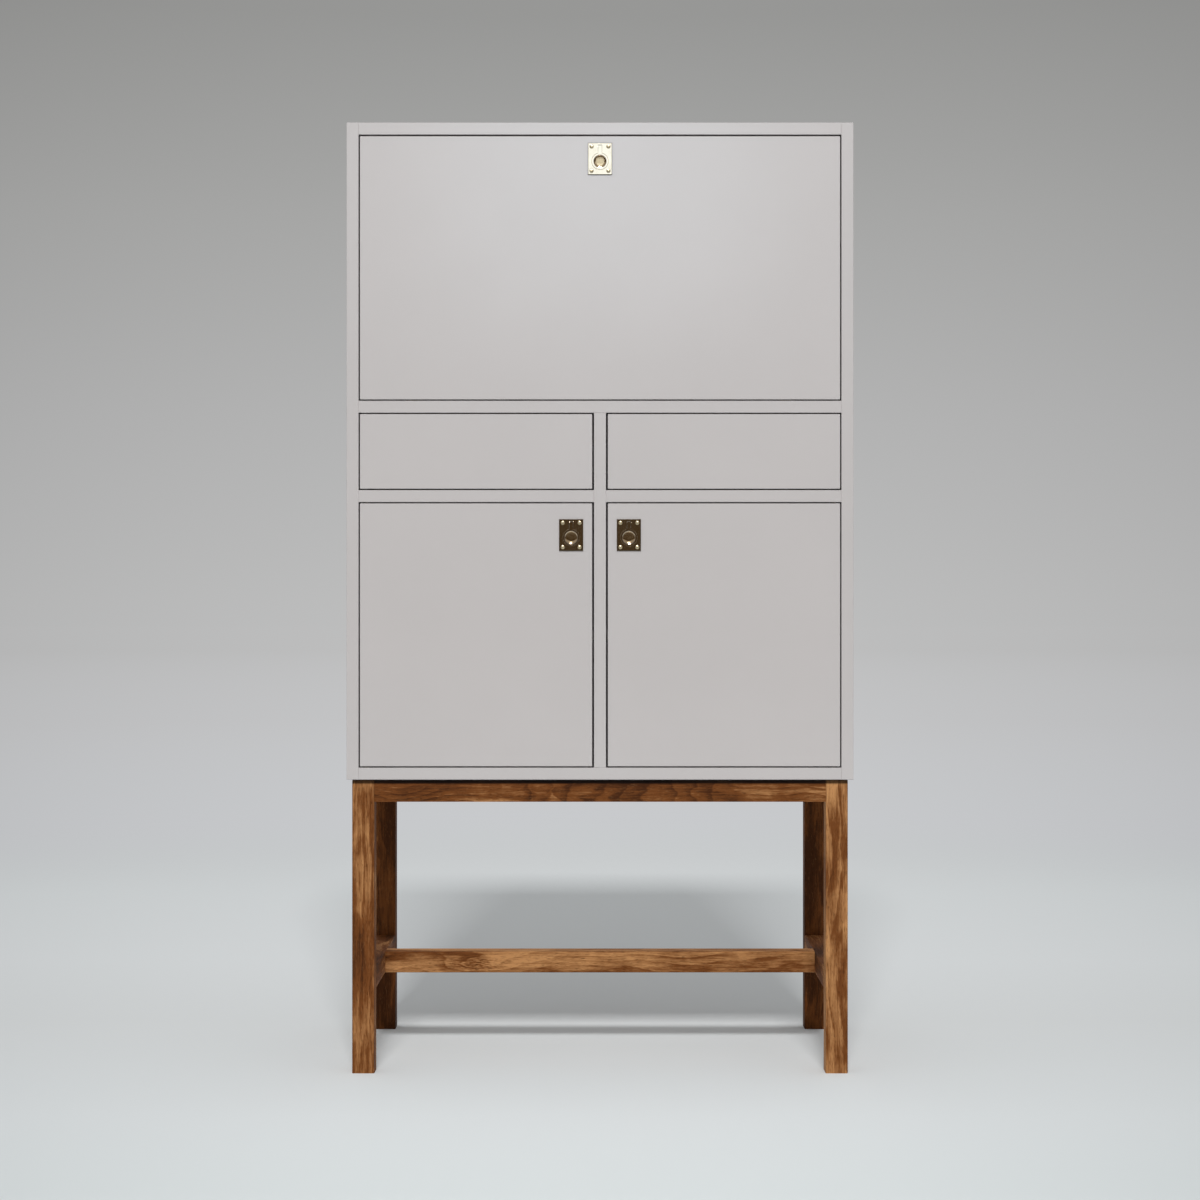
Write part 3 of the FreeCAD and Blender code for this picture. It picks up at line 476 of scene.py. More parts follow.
def screw_heads_tree():
    """Slotted screw heads, each a shallow dome on a short skirt, in rows and columns."""
    tree = bpy.data.node_groups.new("screw heads", "GeometryNodeTree")
    tree.interface.new_socket("Geometry", in_out="OUTPUT", socket_type="NodeSocketGeometry")
    for name, kind in (("Columns", "Int"), ("Rows", "Int"), ("Column Gap", "Float"),
                       ("Row Gap", "Float"), ("Radius", "Float"), ("Dome", "Float"),
                       ("Skirt", "Float"), ("Facing", "Vector"), ("Place", "Vector"),
                       ("Material", "Material")):
        tree.interface.new_socket(name, in_out="INPUT", socket_type="NodeSocket" + kind)
    ends = tree.nodes.new("NodeGroupInput").outputs

    def math(operation, first, second=None):
        return calculate(tree, operation, first, second)

    def vector(*parts):
        node = tree.nodes.new("ShaderNodeCombineXYZ")
        for socket, value in zip(node.inputs, parts):
            feed(tree, socket, value)
        return node.outputs[0]

    def add(kind, settings=None, **inputs):
        """The first output of a new node."""
        return add_node(tree, "GeometryNode" + kind, settings, **inputs).outputs[0]

    # The top of a large ball, kept inside a drum: the dome and the skirt below it.
    radius, dome = ends["Radius"], ends["Dome"]
    square = math("ADD", times(tree, radius, radius), times(tree, dome, dome))
    ball_radius = math("DIVIDE", square, times(tree, dome, 2.0))
    ball = add("MeshUVSphere", Segments=HEAD_STEPS, Rings=ROUND_STEPS, Radius=ball_radius)
    ball = add("Transform", Geometry=ball,
               Translation=vector(None, None, math("SUBTRACT", dome, ball_radius)))
    depth = times(tree, math("MAXIMUM", ends["Skirt"], dome), 2.0)
    rim = add("MeshCylinder", Vertices=RIM_STEPS, Radius=radius, Depth=depth)
    cap = add_node(tree, "GeometryNodeMeshBoolean",
                   {"operation": "INTERSECT", "solver": "EXACT"}, Mesh_2=ball)
    feed_all(tree, cap, Mesh_2=rim)
    slot = add("MeshCube", Size=vector(times(tree, radius, SLOT_LENGTH),
                                       times(tree, radius, SLOT_WIDTH), dome))
    slot = add("Transform", Geometry=slot,
               Translation=vector(None, None, times(tree, dome, SLOT_LEVEL)))
    head = add("MeshBoolean", {"operation": "DIFFERENCE", "solver": "EXACT"},
               Mesh_1=cap.outputs[0], Mesh_2=slot)
    # The places of the heads, counted along the rows.
    columns, rows = ends["Columns"], ends["Rows"]
    count = add("InputIndex")
    column = math("MODULO", count, columns)
    row = math("FLOOR", math("DIVIDE", math("ADD", count, 0.5), columns))

    def spread(number, total_number, gap):
        half = times(tree, math("SUBTRACT", total_number, 1.0), 0.5)
        return times(tree, math("SUBTRACT", number, half), gap)

    points = add("Points", Count=times(tree, columns, rows),
                 Position=vector(spread(column, columns, ends["Column Gap"]),
                                 spread(row, rows, ends["Row Gap"]), None))
    # Each head is turned by its own angle, from a fixed seed.
    chance = add_node(tree, "FunctionNodeRandomValue", {"data_type": "FLOAT"},
                      Seed=SCREW_SEED)
    chance.inputs[2].default_value = -SCREW_TURN
    chance.inputs[3].default_value = SCREW_TURN
    heads = add("InstanceOnPoints", Points=points, Instance=head,
                Rotation=vector(None, None, chance.outputs[1]))
    heads = add("Transform", Geometry=add("RealizeInstances", Geometry=heads),
                Rotation=ends["Facing"], Translation=ends["Place"])
    heads = add("SetMaterial", Geometry=heads, Material=ends["Material"])
    tree.links.new(heads, tree.nodes.new("NodeGroupOutput").inputs[0])
    return tree


FACING = {"front": (radians(90), 0.0, 0.0), "back": (radians(-90), 0.0, 0.0),
          "up": (0.0, 0.0, 0.0), "down": (radians(180), 0.0, 0.0),
          "left": (0.0, radians(-90), 0.0), "right": (0.0, radians(90), 0.0)}


def screw_heads(name, body, material, slot, place, facing, columns=1, rows=1,
                column_gap=0.0, row_gap=0.0, radius=2.6 * MM, dome=0.3 * MM, skirt=0.5 * MM):
    """Evaluates the screw tree with these inputs into a plain mesh object."""
    piece = new_object(name + "_source", bpy.data.meshes.new(name))
    modifier = piece.modifiers.new("screws", "NODES")
    modifier.node_group = SCREW_HEADS
    settings = {"Columns": columns, "Rows": rows, "Column Gap": column_gap,
                "Row Gap": row_gap, "Radius": radius, "Dome": dome, "Skirt": skirt,
                "Facing": FACING[facing], "Place": tuple(place), "Material": material}
    for socket in SCREW_HEADS.interface.items_tree:
        if socket.in_out == "INPUT":
            modifier[socket.identifier] = settings[socket.name]
    screws = plain(piece, name)
    smooth(screws)
    dress(screws, material, slot, body)


SCREW_HEADS = screw_heads_tree()
low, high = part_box("back_panel")
rear = high.y - BACK_RECESS
back = brick("back_panel_dressed", low, (high.x, rear, high.z))
dress(back, grey_lacquer, "lacquer", "cabinet", "back_panel")
middle = (low + high) / 2
width, height = high.x - low.x - 2 * BACK_SCREW_INSET, high.z - low.z - 2 * BACK_SCREW_INSET
screw_heads("back_screws_sides", "cabinet", zinc_plate, "steel", (middle.x, rear, middle.z),
            "back", 2, BACK_SCREWS_HIGH, width, height / (BACK_SCREWS_HIGH - 1))
screw_heads("back_screws_ends", "cabinet", zinc_plate, "steel", (middle.x, rear, middle.z),
            "back", BACK_SCREWS_BETWEEN, 2, width / (BACK_SCREWS_BETWEEN + 1), height)

# ---------------------------------------- inner shelves
# Loose shelves of lacquered fibreboard, each on four turned steel pins that push into
# rows of drilled holes; the pins are near black, painted shade where they show in the gaps.
PIN_PAINTED_SHADE = (0.13, 0.13, 0.135)
PIN_PAINTED_SHADE_FLECK = (0.18, 0.18, 0.185)
# Painted shade: the pins' steel is near black so that they stay dark in the gaps.
pin_painted_shade = speckled("turned steel darkened as painted shade", PIN_PAINTED_SHADE, PIN_PAINTED_SHADE_FLECK, scale=400.0,
                      roughness=0.62, metallic=1.0)
finish_nodes(grey_lacquer, "bar_shelf", "cupboard_shelf_left", "cupboard_shelf_right")
finish_nodes(pin_painted_shade, "shelf_pins")

# ---------------------------------------- drawers
# Lacquered fronts on boxes of birch plywood, grooved for a thin bottom, which run on
# three-part runners of rolled zinc-plated steel, their front ends black as painted shade.
BIRCH = (0.62, 0.44, 0.25)
BIRCH_STREAK = (0.50, 0.33, 0.17)
BIRCH_GRAIN = (90.0, 7.0, 160.0)  # waves per metre
BIRCH_RELIEF = 0.00003
# The black on the next line is painted shade on the runners' front ends, in the gaps.
RUNNER_PAINTED_SHADE = (0.012, 0.012, 0.012)
RUNNER_SHADE_BACK = -0.1852              # the painted shade on the runners' front ends reaches back to here, with a soft edge
RUNNER_SHADE_FADED = -0.1848


def birch_veneer():
    material, tree, shader = new_finish("birch plywood")
    streak = noise(tree, stretch(tree, object_place(tree), BIRCH_GRAIN), 4.0, 0.6, 0.4)
    feed_all(tree, shader, Roughness=between(tree, streak, -1.2, 1.6),
             Base_Color=blend_colours(tree, between(tree, streak, 0.35, 0.7), BIRCH,
                                      BIRCH_STREAK))
    add_bump(tree, shader, streak, BIRCH_RELIEF)
    return material


def runner_steel():
    """Zinc-plated steel whose front ends are black: painted shade where the runners show in the
    gaps.
    """
    material = speckled("runner steel", ZINC, ZINC_BRIGHT, scale=ZINC_SPANGLE, roughness=0.32)
    tree = material.node_tree
    shader = tree.nodes["Principled BSDF"]
    plated = shader.inputs["Base Color"].links[0].from_socket
    steel = between(tree, axis_of(tree, object_place(tree), "Y"), RUNNER_SHADE_BACK, RUNNER_SHADE_FADED)
    feed_all(tree, shader, Base_Color=blend_colours(tree, steel, RUNNER_PAINTED_SHADE, plated),
             Metallic=steel)
    return material


birch = birch_veneer()
rolled_steel = runner_steel()
for side in ("left", "right"):
    finish_nodes(grey_lacquer, "drawer_front_" + side)
    finish_nodes(birch, "drawer_sides_" + side, "drawer_back_" + side, "drawer_bottom_" + side)
    finish_nodes(rolled_steel, "runner_middles_" + side, "runner_drawer_members_" + side)
finish_nodes(rolled_steel, "runner_cabinet_members")

# ---------------------------------------- doors
# Inset lacquered doors that turn on brass knife pivots let into their edges, bronzed dark
# so that they do not show in the gaps. Countersunk slotted screws hold the pivots and the
# strike plates of the catches.
BRASS = ((0.62, 0.53, 0.36), (0.56, 0.47, 0.31))
# These bronzed colours also serve as painted shade on the pull plates' outlines.
BRONZED_AND_EDGE_SHADE = (0.075, 0.058, 0.036)
BRONZED_RUB_AND_EDGE_SHADE = (0.10, 0.08, 0.05)
SATIN_ROUGHNESS = 0.32
BRASS_RELIEF = 0.0000015
CLOUD_SIZE = (60.0, 60.0, 60.0)  # waves per metre of the tarnish, and of the polish lines
HAIR_SIZE = (350.0, 2600.0, 2600.0)
RECESS_SHADE_FROM = -0.2086              # painted shade: behind the pulls' faces the brass turns darker and warmer
RECESS_SHADE_FULL = -0.2078
RECESS_SHADE_BRASS = (0.60, 0.44, 0.27)
RECESS_ROUGHNESS = 0.02            # added where that painted shade lies
PIVOT_PLATE = 48.0 * MM
PIVOT_PLATE_INSET = 4.0 * MM     # from the end of the door's plate to the carcass one
PIVOT_PLATE_THICK = 2.5 * MM
CATCH_HEIGHT = 16.0 * MM
STRIKE_MIDDLE = 12.0 * MM        # from the fitting's end
STRIKE_SCREW_GAP = 13.0 * MM
STRIKE_SCREW = 2.0 * MM          # radius


def polished_brass(name, colours, roughness, recess_shade=0.0):
    """Cloudy brass with fine polish lines; the last argument is 1 where the brass behind a face
    gets painted shade, darker and warmer.
    """
    material, tree, shader = new_finish(name)
    along = object_place(tree)
    cloud = noise(tree, stretch(tree, along, CLOUD_SIZE), 4.0, 0.6)
    hair = noise(tree, stretch(tree, along, HAIR_SIZE), 2.0, 0.6)
    cloudy = blend_colours(tree, between(tree, cloud, 0.35, 0.75), *colours)
    # Painted shade: behind the face the brass turns darker and warmer, in the bowls and wells.
    inside = between(tree, axis_of(tree, along, "Y"), RECESS_SHADE_FROM, RECESS_SHADE_FULL)
    recess_shade_share = times(tree, inside, recess_shade)
    feed_all(tree, shader, Base_Color=blend_colours(tree, recess_shade_share, cloudy, RECESS_SHADE_BRASS),
             Metallic=1.0, Roughness=total(tree, (0.1, cloud), (0.06, hair),
                                           (RECESS_ROUGHNESS, recess_shade_share), roughness - 0.08))
    add_bump(tree, shader, hair, BRASS_RELIEF)
    return material


satin_brass = polished_brass("satin brass", BRASS, SATIN_ROUGHNESS)
bronzed_brass_and_edge_shade = speckled("bronzed brass and painted edge shade", BRONZED_AND_EDGE_SHADE, BRONZED_RUB_AND_EDGE_SHADE, scale=500.0, roughness=0.5,
                         metallic=1.0)
finish_nodes(grey_lacquer, "door_left", "door_right")
finish_nodes(bronzed_brass_and_edge_shade, "door_pivots")
finish_nodes(satin_brass, "door_fittings_left", "door_fittings_right")
catch_low, catch_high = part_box("magnet_catches")
cupboard_top = catch_low.z + CATCH_HEIGHT
low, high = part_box("door_pivots")
for side, sign in (("left", -1), ("right", 1)):
    centre_x = sign * (high.x - PIVOT_PLATE / 2 - PIVOT_PLATE_INSET)
    middle_y = (low.y + high.y) / 2
    for level, facing, z in (("lower", "up", low.z + PIVOT_PLATE_THICK),
                             ("upper", "down", high.z - PIVOT_PLATE_THICK)):
        screw_heads("door_pivot_screws_%s_%s" % (level, side), "cabinet", bronzed_brass_and_edge_shade,
                    "brass", (centre_x, middle_y, z), facing, 2, 1, 20.0 * MM,
                    radius=2.3 * MM, dome=0.25 * MM)
    low_fitting, high_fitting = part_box("door_fittings_" + side)
    strike_x = high_fitting.x - STRIKE_MIDDLE if sign < 0 else low_fitting.x + STRIKE_MIDDLE
    screw_heads("door_strike_screws_" + side, "door_" + side, satin_brass, "brass",
                (strike_x, high_fitting.y, cupboard_top - CATCH_HEIGHT / 2), "back", 2, 1,
                STRIKE_SCREW_GAP, radius=STRIKE_SCREW)

# ---------------------------------------- magnet catches
# Moulded plastic housings, screwed up under the bar top and the drawer shelves; each
# shows the two steel pole plates of its magnet.
CATCH_PLASTIC = (0.62, 0.61, 0.59)
CATCH_PLASTIC_SHADE = (0.56, 0.55, 0.53)
CATCH_WIDTH = 32.0 * MM
CATCH_SCREW_GAP = 23.0 * MM
POLE_HALF = 11.0 * MM
POLE_PROUD = 0.15 * MM
POLE_SUNK = 3.0 * MM
POLE_THICK = 1.4 * MM
POLE_DROPS = (6.0 * MM, 12.0 * MM)  # lower faces of the poles, below the catch's top


def shaped(name, blank, added=(), cut=()):
    """Joins pieces to a blank and cuts others out of it."""
    for operation, tools in (("UNION", added), ("DIFFERENCE", cut)):
        for tool in tools:
            step = blank.modifiers.new("step", "BOOLEAN")
            step.operation = operation
            step.solver = "EXACT"
            step.object = tool
    blank.name = name + "_blank"
    result = plain(blank, name)
    for tool in (*added, *cut):
        bpy.data.objects.remove(tool)
    return result


catch_plastic = speckled("pale moulded plastic", CATCH_PLASTIC, CATCH_PLASTIC_SHADE,
                         scale=1400.0, roughness=0.5)
finish_nodes(catch_plastic, "magnet_catches")
door_catch_x = catch_high.x - CATCH_WIDTH / 2
for place, x, top in (("flap", 0.0, catch_high.z), ("left", -door_catch_x, cupboard_top),
                      ("right", door_catch_x, cupboard_top)):
    poles = [brick("pole", (x - POLE_HALF, catch_low.y - POLE_PROUD, top - drop),
                   (x + POLE_HALF, catch_low.y + POLE_SUNK, top - drop + POLE_THICK))
             for drop in POLE_DROPS]
    poles = shaped("catch_poles_" + place, poles[0], poles[1:])
    dress(poles, zinc_plate, "steel", "cabinet")
    screw_heads("catch_screws_" + place, "cabinet", zinc_plate, "steel",
                (x, (catch_low.y + catch_high.y) / 2, top - CATCH_HEIGHT), "down", 2, 1,
                CATCH_SCREW_GAP, radius=2.2 * MM)

# ---------------------------------------- flap, hinges and stays
# The inset flap drops on two brass hinges let into the bar floor. At each side a slotted
# brass stay turns on the flap and slides on a headed stud. Countersunk slotted brass
# screws hold the leaves, blocks and brackets, and steel ones the strike plate.
CLEAR_BRASS = ((0.63, 0.53, 0.42), (0.58, 0.485, 0.38))
HINGE_LEAF_WIDTH = 16.0 * MM
LEAF_SCREW_DROP = 21.0 * MM  # middle of the screws, below the leaf's top
LEAF_SCREW_GAP = 23.0 * MM
HINGE_BASE_WIDTH = 30.0 * MM
BASE_SCREW_IN = 11.0 * MM    # from the rear of the block
BASE_SCREW_GAP = 15.0 * MM
PLATE_SCREW_GAP = 19.0 * MM
STAY_PLATE = 2.0 * MM
STUD_HEAD_IN = 9.8 * MM      # from the side panel to the end of the stud's head
STUD_HEAD = 5.3 * MM         # radius
FOOT_MIDDLE_IN = 18.1 * MM   # from the head of the pivot pin to the foot's middle
FOOT_SCREW_GAP = 22.0 * MM
brass = polished_brass("polished brass", CLEAR_BRASS, 0.1, recess_shade=1.0)
finish_nodes(grey_lacquer, "flap")
finish_nodes(satin_brass, "flap_hinge_bases", "flap_hinge_pins", "flap_hinge_leaves",
             "stay_arm_left", "stay_arm_right", "stay_side_brackets", "stay_flap_brackets")
finish_nodes(zinc_plate, "flap_strike_plate")
low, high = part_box("flap_hinge_leaves")
screw_heads("hinge_leaf_screws", "flap", satin_brass, "brass",
            (0.0, high.y, high.z - LEAF_SCREW_DROP), "back", 2, 2,
            high.x - low.x - HINGE_LEAF_WIDTH, LEAF_SCREW_GAP)
low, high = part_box("flap_hinge_bases")
for side, sign in (("left", -1), ("right", 1)):
    screw_heads("hinge_base_screws_" + side, "cabinet", satin_brass, "brass",
                (sign * (high.x - HINGE_BASE_WIDTH / 2), high.y - BASE_SCREW_IN, high.z),
                "up", 2, 1, BASE_SCREW_GAP)
low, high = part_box("stay_side_brackets")
middle = (low + high) / 2
for side, sign, facing in (("left", -1, "right"), ("right", 1, "left")):
    screw_heads("stay_side_screws_" + side, "cabinet", satin_brass, "brass",
                (sign * (high.x - STAY_PLATE), middle.y, middle.z), facing, 2, 2,
                PLATE_SCREW_GAP, PLATE_SCREW_GAP)
    screw_heads("stay_stud_head_" + side, "cabinet", brass, "brass",
                (sign * (high.x - STUD_HEAD_IN), middle.y, middle.z), facing,
                radius=STUD_HEAD, dome=0.8 * MM, skirt=2.6 * MM)
low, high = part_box("stay_flap_brackets")
screw_heads("stay_flap_screws", "flap", satin_brass, "brass",
            (0.0, low.y + STAY_PLATE, (low.z + high.z) / 2), "back", 2, 2,
            high.x - low.x - 2 * FOOT_MIDDLE_IN, FOOT_SCREW_GAP)
low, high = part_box("flap_strike_plate")
screw_heads("flap_strike_screws", "flap", zinc_plate, "steel",
            (0.0, high.y, (low.z + high.z) / 2), "back", 2, 1, STRIKE_SCREW_GAP,
            radius=STRIKE_SCREW)

# ---------------------------------------- flush ring pulls
# Cast and polished brass: a thick plate with dark bevels, painted shade, and a finger bowl
# behind it, darker inside as painted shade, a flat ring that lies flush in its well and lifts
# on a stem with two trunnions, and four raised slotted screws in countersunk seats.
PLATE_BEVEL = 0.6 * MM    # painted shade: the bevel gets the dark finish, like the plate's sides
NOTCH_RADIUS = 1.1 * MM   # a nick at the top, for a pick to lift the stem
NOTCH_SHIFT = 1.9 * MM
RING_DROP = 4.0 * MM      # ring centre below the plate's middle
WELL_RADIUS = 13.4 * MM
WELL_FLARE = 0.12 * MM
WELL_DEPTH = 2.8 * MM     # below the plate's face
RING_RADIUS = 13.0 * MM
RING_HOLE = 9.3 * MM
RING_LEAD = 1.1 * MM      # broad rounding of the hole's front edge
RING_EDGE = 0.12 * MM
RING_SINK = 0.1 * MM
RING_THICK = 2.0 * MM
STEM_WIDTH = 6.0 * MM
STEM_PLAY = 0.3 * MM
PIVOT_DROP = 4.8 * MM     # below the plate's top edge
TRUNNION_RADIUS = 0.8 * MM
TRUNNION_FIT = 0.05 * MM
TRUNNION_REACH = 5.2 * MM
BOWL_RADIUS = 9.9 * MM
BOWL_DEPTH = 6.0 * MM
BOWL_FLAT = 4.5 * MM      # shallow bottom, then a hollow up to the wall below
BOWL_FOOT = 2.0 * MM      # height of that hollow at the foot of the wall
BOWL_SQUARE = 0.95        # share of that hollow left out at the sides and above
BOWL_BALL = 95.0 * MM     # ball radius of the shallow bottom
BOWL_LOW = 6.5 * MM       # its deepest point below the ring centre
BOWL_LEVEL = 5.5 * MM     # above that point by this much, the slope stays even
CUP_RADIUS = 15.4 * MM
CUP_DEPTH = 13.0 * MM     # behind the plate
SCREW_INSET_X = 5.7 * MM
SCREW_INSET_Z = 5.8 * MM
SCREW_RADIUS = 2.9 * MM
SCREW_DOME = 0.5 * MM
SEAT_RADIUS = 3.3 * MM
BEVEL_STEPS = 4
SHADE_FREE_FACING = 0.999     # a face near the outline that looks forward less squarely than this gets painted shade
STEM_SWING = 1.5 * MM     # room above the pivot for the stem's end
STEM_STEPS = 6
LEAD_STEPS = 5
EDGE_STEPS = 2
SHARP_CORNER = radians(60)
BOWL_CURVE = radians(87)  # turn of the hollow up the wall
CURVE_STEPS = 12
FLAT_STEPS = 8


def turned(name, profile, centre, axis="Y", steps=ROUND_STEPS):
    """A shape turned on a lathe: (radius, distance along the axis) points, end to end."""
    form = bmesh.new()
    rings = []
    for radius, along in profile:
        if radius == 0.0:
            rings.append([form.verts.new((0.0, 0.0, along))])
            continue
        turns = [2 * pi * k / steps for k in range(steps)]
        rings.append([form.verts.new((radius * cos(t), radius * sin(t), along)) for t in turns])
    for first, second in zip(rings, rings[1:]):
        for k in range(steps):
            corners = [first[k % len(first)], first[(k + 1) % steps % len(first)],
                       second[(k + 1) % steps % len(second)], second[k % len(second)]]
            form.faces.new(list(dict.fromkeys(corners)))
    turn = Matrix.Rotation(radians(-90), 4, "X") if axis == "Y" else \
        Matrix.Rotation(radians(90), 4, "Y")
    form.transform(Matrix.Translation(centre) @ turn)
    return as_object(name, form)


def drum(name, radius, start, end, centre, axis="Y", steps=ROUND_STEPS):
    """A plain cylinder, turned on the same lathe."""
    profile = [(0.0, start), (radius, start), (radius, end), (0.0, end)]
    return turned(name, profile, centre, axis, steps)


def pull_places(node):
    """Middle, face, top and ring centre of a pull, from its CAD plate."""
    low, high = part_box(node)
    middle = (low + high) / 2
    return middle.x, low.y + SCREW_DOME, high.z, middle.z - RING_DROP, low, high


def finger_bowl(x, floor, ring_z):
    """The hollow for a fingertip: shallow bottom, steep wall above, rounded foot below."""
    hollow = BOWL_RADIUS - BOWL_FLAT
    deepest = floor + BOWL_DEPTH
    turns = [BOWL_CURVE * k / CURVE_STEPS for k in range(CURVE_STEPS + 1)]
    dish = [(BOWL_FLAT + hollow * cos(t), deepest + BOWL_FOOT * (sin(t) - 1.0))
            for t in turns]
    bottom = [(BOWL_FLAT * (1.0 - k / FLAT_STEPS), deepest)
              for k in range(1, FLAT_STEPS + 1)]
    bowl = turned("bowl", [(0.0, floor - MM), (BOWL_RADIUS, floor - MM), *dish, *bottom],
                  (x, 0.0, ring_z))
    for vertex in bowl.data.vertices:
        if vertex.co.y <= floor:
            continue
        side, up = vertex.co.x - x, vertex.co.z - ring_z
        reach = hypot(side, up)
        if reach > BOWL_FLAT:
            share = min(1.0, 1.0 + up / reach)
            share *= share * (3.0 - 2.0 * share)
            vertex.co.y += (deepest - vertex.co.y) * BOWL_SQUARE * share
        rise = up + BOWL_LOW
        over = max(rise - BOWL_LEVEL, 0.0)
        vertex.co.y -= (side ** 2 + rise ** 2 - over ** 2) / (2 * BOWL_BALL)
    return bowl


def pull_plate(name):
    """A bevelled slab with its well, bowl, slot, bore, nick and seats cut out."""
    x, face, top, ring_z, low, high = pull_places(name)
    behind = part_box("top_panel")[0].y  # the plane of the fronts
    slab = brick("slab", (low.x, face, low.z), (high.x, behind, high.z), PLATE_BEVEL,
                 BEVEL_STEPS, lambda edge: all(v.co.y < face + MM / 10 for v in edge.verts))
    cup = drum("cup", CUP_RADIUS, behind - MM, behind + CUP_DEPTH, (x, 0.0, ring_z),
               steps=ROUND_STEPS // 2)
    floor = face + WELL_DEPTH
    well = turned("well", [(0.0, face - MM), (WELL_RADIUS + WELL_FLARE, face - MM),
                           (WELL_RADIUS + WELL_FLARE, face), (WELL_RADIUS, face + WELL_FLARE),
                           (WELL_RADIUS, floor), (0.0, floor)], (x, 0.0, ring_z))
    bowl = finger_bowl(x, floor, ring_z)
    notch = drum("notch", NOTCH_RADIUS, face - MM, face + MM,
                 (x - NOTCH_SHIFT, 0.0, high.z), steps=ROUND_STEPS // 4)
    half = STEM_WIDTH / 2 + STEM_PLAY
    slot_top = top - PIVOT_DROP + STEM_SWING + STEM_PLAY
    slot = brick("slot", (x - half, face - MM, ring_z), (x + half, floor, slot_top))
    pivot_y = face + RING_SINK + RING_THICK / 2
    reach = TRUNNION_REACH + STEM_PLAY
    bore = drum("bore", TRUNNION_RADIUS + TRUNNION_FIT, -reach, reach,
                (x, pivot_y, top - PIVOT_DROP), "X", ROUND_STEPS // 4)
    seat = [(0.0, face - MM), (SEAT_RADIUS + MM, face - MM), (SEAT_RADIUS, face),
            (SEAT_RADIUS - MM, face + MM), (0.0, face + MM)]
    seats = [turned("seat", seat, (seat_x, 0.0, seat_z), steps=ROUND_STEPS // 2)
             for seat_x in (low.x + SCREW_INSET_X, high.x - SCREW_INSET_X)
             for seat_z in (low.z + SCREW_INSET_Z, high.z - SCREW_INSET_Z)]
    plate = shaped(name + "_dressed", slab, [cup], [well, bowl, slot, bore, notch, *seats])
    smooth(plate)
    return plate


def paint_outline_shade(plate, low, high):
    """Gives the bevel, the notch and the sides of a plate the dark bronzed brass: painted shade
    along its edges and in the notch.
    """
    plate.data.materials.append(bronzed_brass_and_edge_shade)
    for face in plate.data.polygons:
        spot = face.center
        inset = min(spot.x - low.x, high.x - spot.x, spot.z - low.z, high.z - spot.z)
        if inset < NOTCH_RADIUS and abs(face.normal.y) < SHADE_FREE_FACING:
            face.material_index = 1


def pull_ring(name, plate_name):
    """A flat ring whose stem runs up to a squared end with a trunnion at each side."""
    x, face, top, ring_z, low, high = pull_places(plate_name)
    front = face + RING_SINK
    back = front + RING_THICK
    pivot_y, pivot_z = (front + back) / 2, top - PIVOT_DROP
    root = asin(STEM_WIDTH / 2 / RING_RADIUS)
    angles = [root * (2 * k / STEM_STEPS - 1) for k in range(STEM_STEPS + 1)]
    angles += [root + 2 * (pi - root) * k / ROUND_STEPS for k in range(1, ROUND_STEPS)]
    form = bmesh.new()

    def loop(radius, y):
        return [form.verts.new((x + radius * sin(t), y, ring_z + radius * cos(t)))
                for t in angles]

    hole_front, rim_front = loop(RING_HOLE, front), loop(RING_RADIUS, front)
    hole_back, rim_back = loop(RING_HOLE, back), loop(RING_RADIUS, back)
    for k in range(len(angles)):
        n = (k + 1) % len(angles)
        form.faces.new((hole_front[k], hole_front[n], rim_front[n], rim_front[k]))
        form.faces.new((hole_back[k], rim_back[k], rim_back[n], hole_back[n]))
        form.faces.new((hole_front[k], hole_back[k], hole_back[n], hole_front[n]))
        if k >= STEM_STEPS:
            form.faces.new((rim_front[k], rim_front[n], rim_back[n], rim_back[k]))
    stem = []
    for k in range(STEM_STEPS + 1):
        across = x + RING_RADIUS * sin(angles[k])
        end = [form.verts.new((across, depth, pivot_z + RING_THICK / 2))
               for depth in (front, back)]
        stem.append([rim_front[k], *end, rim_back[k]])
    for left, right in zip(stem, stem[1:]):
        for k in range(len(left) - 1):
            form.faces.new((left[k], right[k], right[k + 1], left[k + 1]))
    form.faces.new(stem[0])
    form.faces.new(stem[-1])
    bmesh.ops.recalc_face_normals(form, faces=form.faces)
    lead = [edge for edge in form.edges if all(vertex in hole_front for vertex in edge.verts)]
    rounded(form, lead, RING_LEAD, LEAD_STEPS)
    sharp = [edge for edge in form.edges if edge.calc_face_angle(0.0) > SHARP_CORNER]
    rounded(form, sharp, RING_EDGE, EDGE_STEPS)
    ring = as_object("ring", form)
    trunnions = drum("trunnions", TRUNNION_RADIUS, -TRUNNION_REACH, TRUNNION_REACH,
                     (x, pivot_y, pivot_z), "X", ROUND_STEPS // 4)
    ring = shaped(name + "_dressed", ring, [trunnions])
    smooth(ring)
    return ring


for body in ("flap", "door_left", "door_right"):
    plate_node, ring_node = body + "_pull_plate", body + "_pull_ring"
    plate = pull_plate(plate_node)
    dress(plate, brass, "brass", body, plate_node)
    ring = pull_ring(ring_node, plate_node)
    dress(ring, brass, "brass", ring_node, ring_node)
    low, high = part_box(plate_node)
    # Painted shade along the plate's bevels, sides and notch.
    paint_outline_shade(plate, low, high)
    middle = (low + high) / 2
    screw_heads(body + "_pull_screws", body, satin_brass, "brass",
                (middle.x, low.y + SCREW_DOME, middle.z), "front", 2, 2,
                high.x - low.x - 2 * SCREW_INSET_X, high.z - low.z - 2 * SCREW_INSET_Z,
                SCREW_RADIUS, SCREW_DOME)

# ---------------------------------------- studio
# A pale floor that fades into an even backdrop, a wide softbox high above the camera, a
# small one before the flap's pull, and soft light from the whole room.
CAMERA_PLACE = (0.0, -3.77775, 0.7486)
CAMERA_LENS = 67.86
CAMERA_SENSOR = 36.0
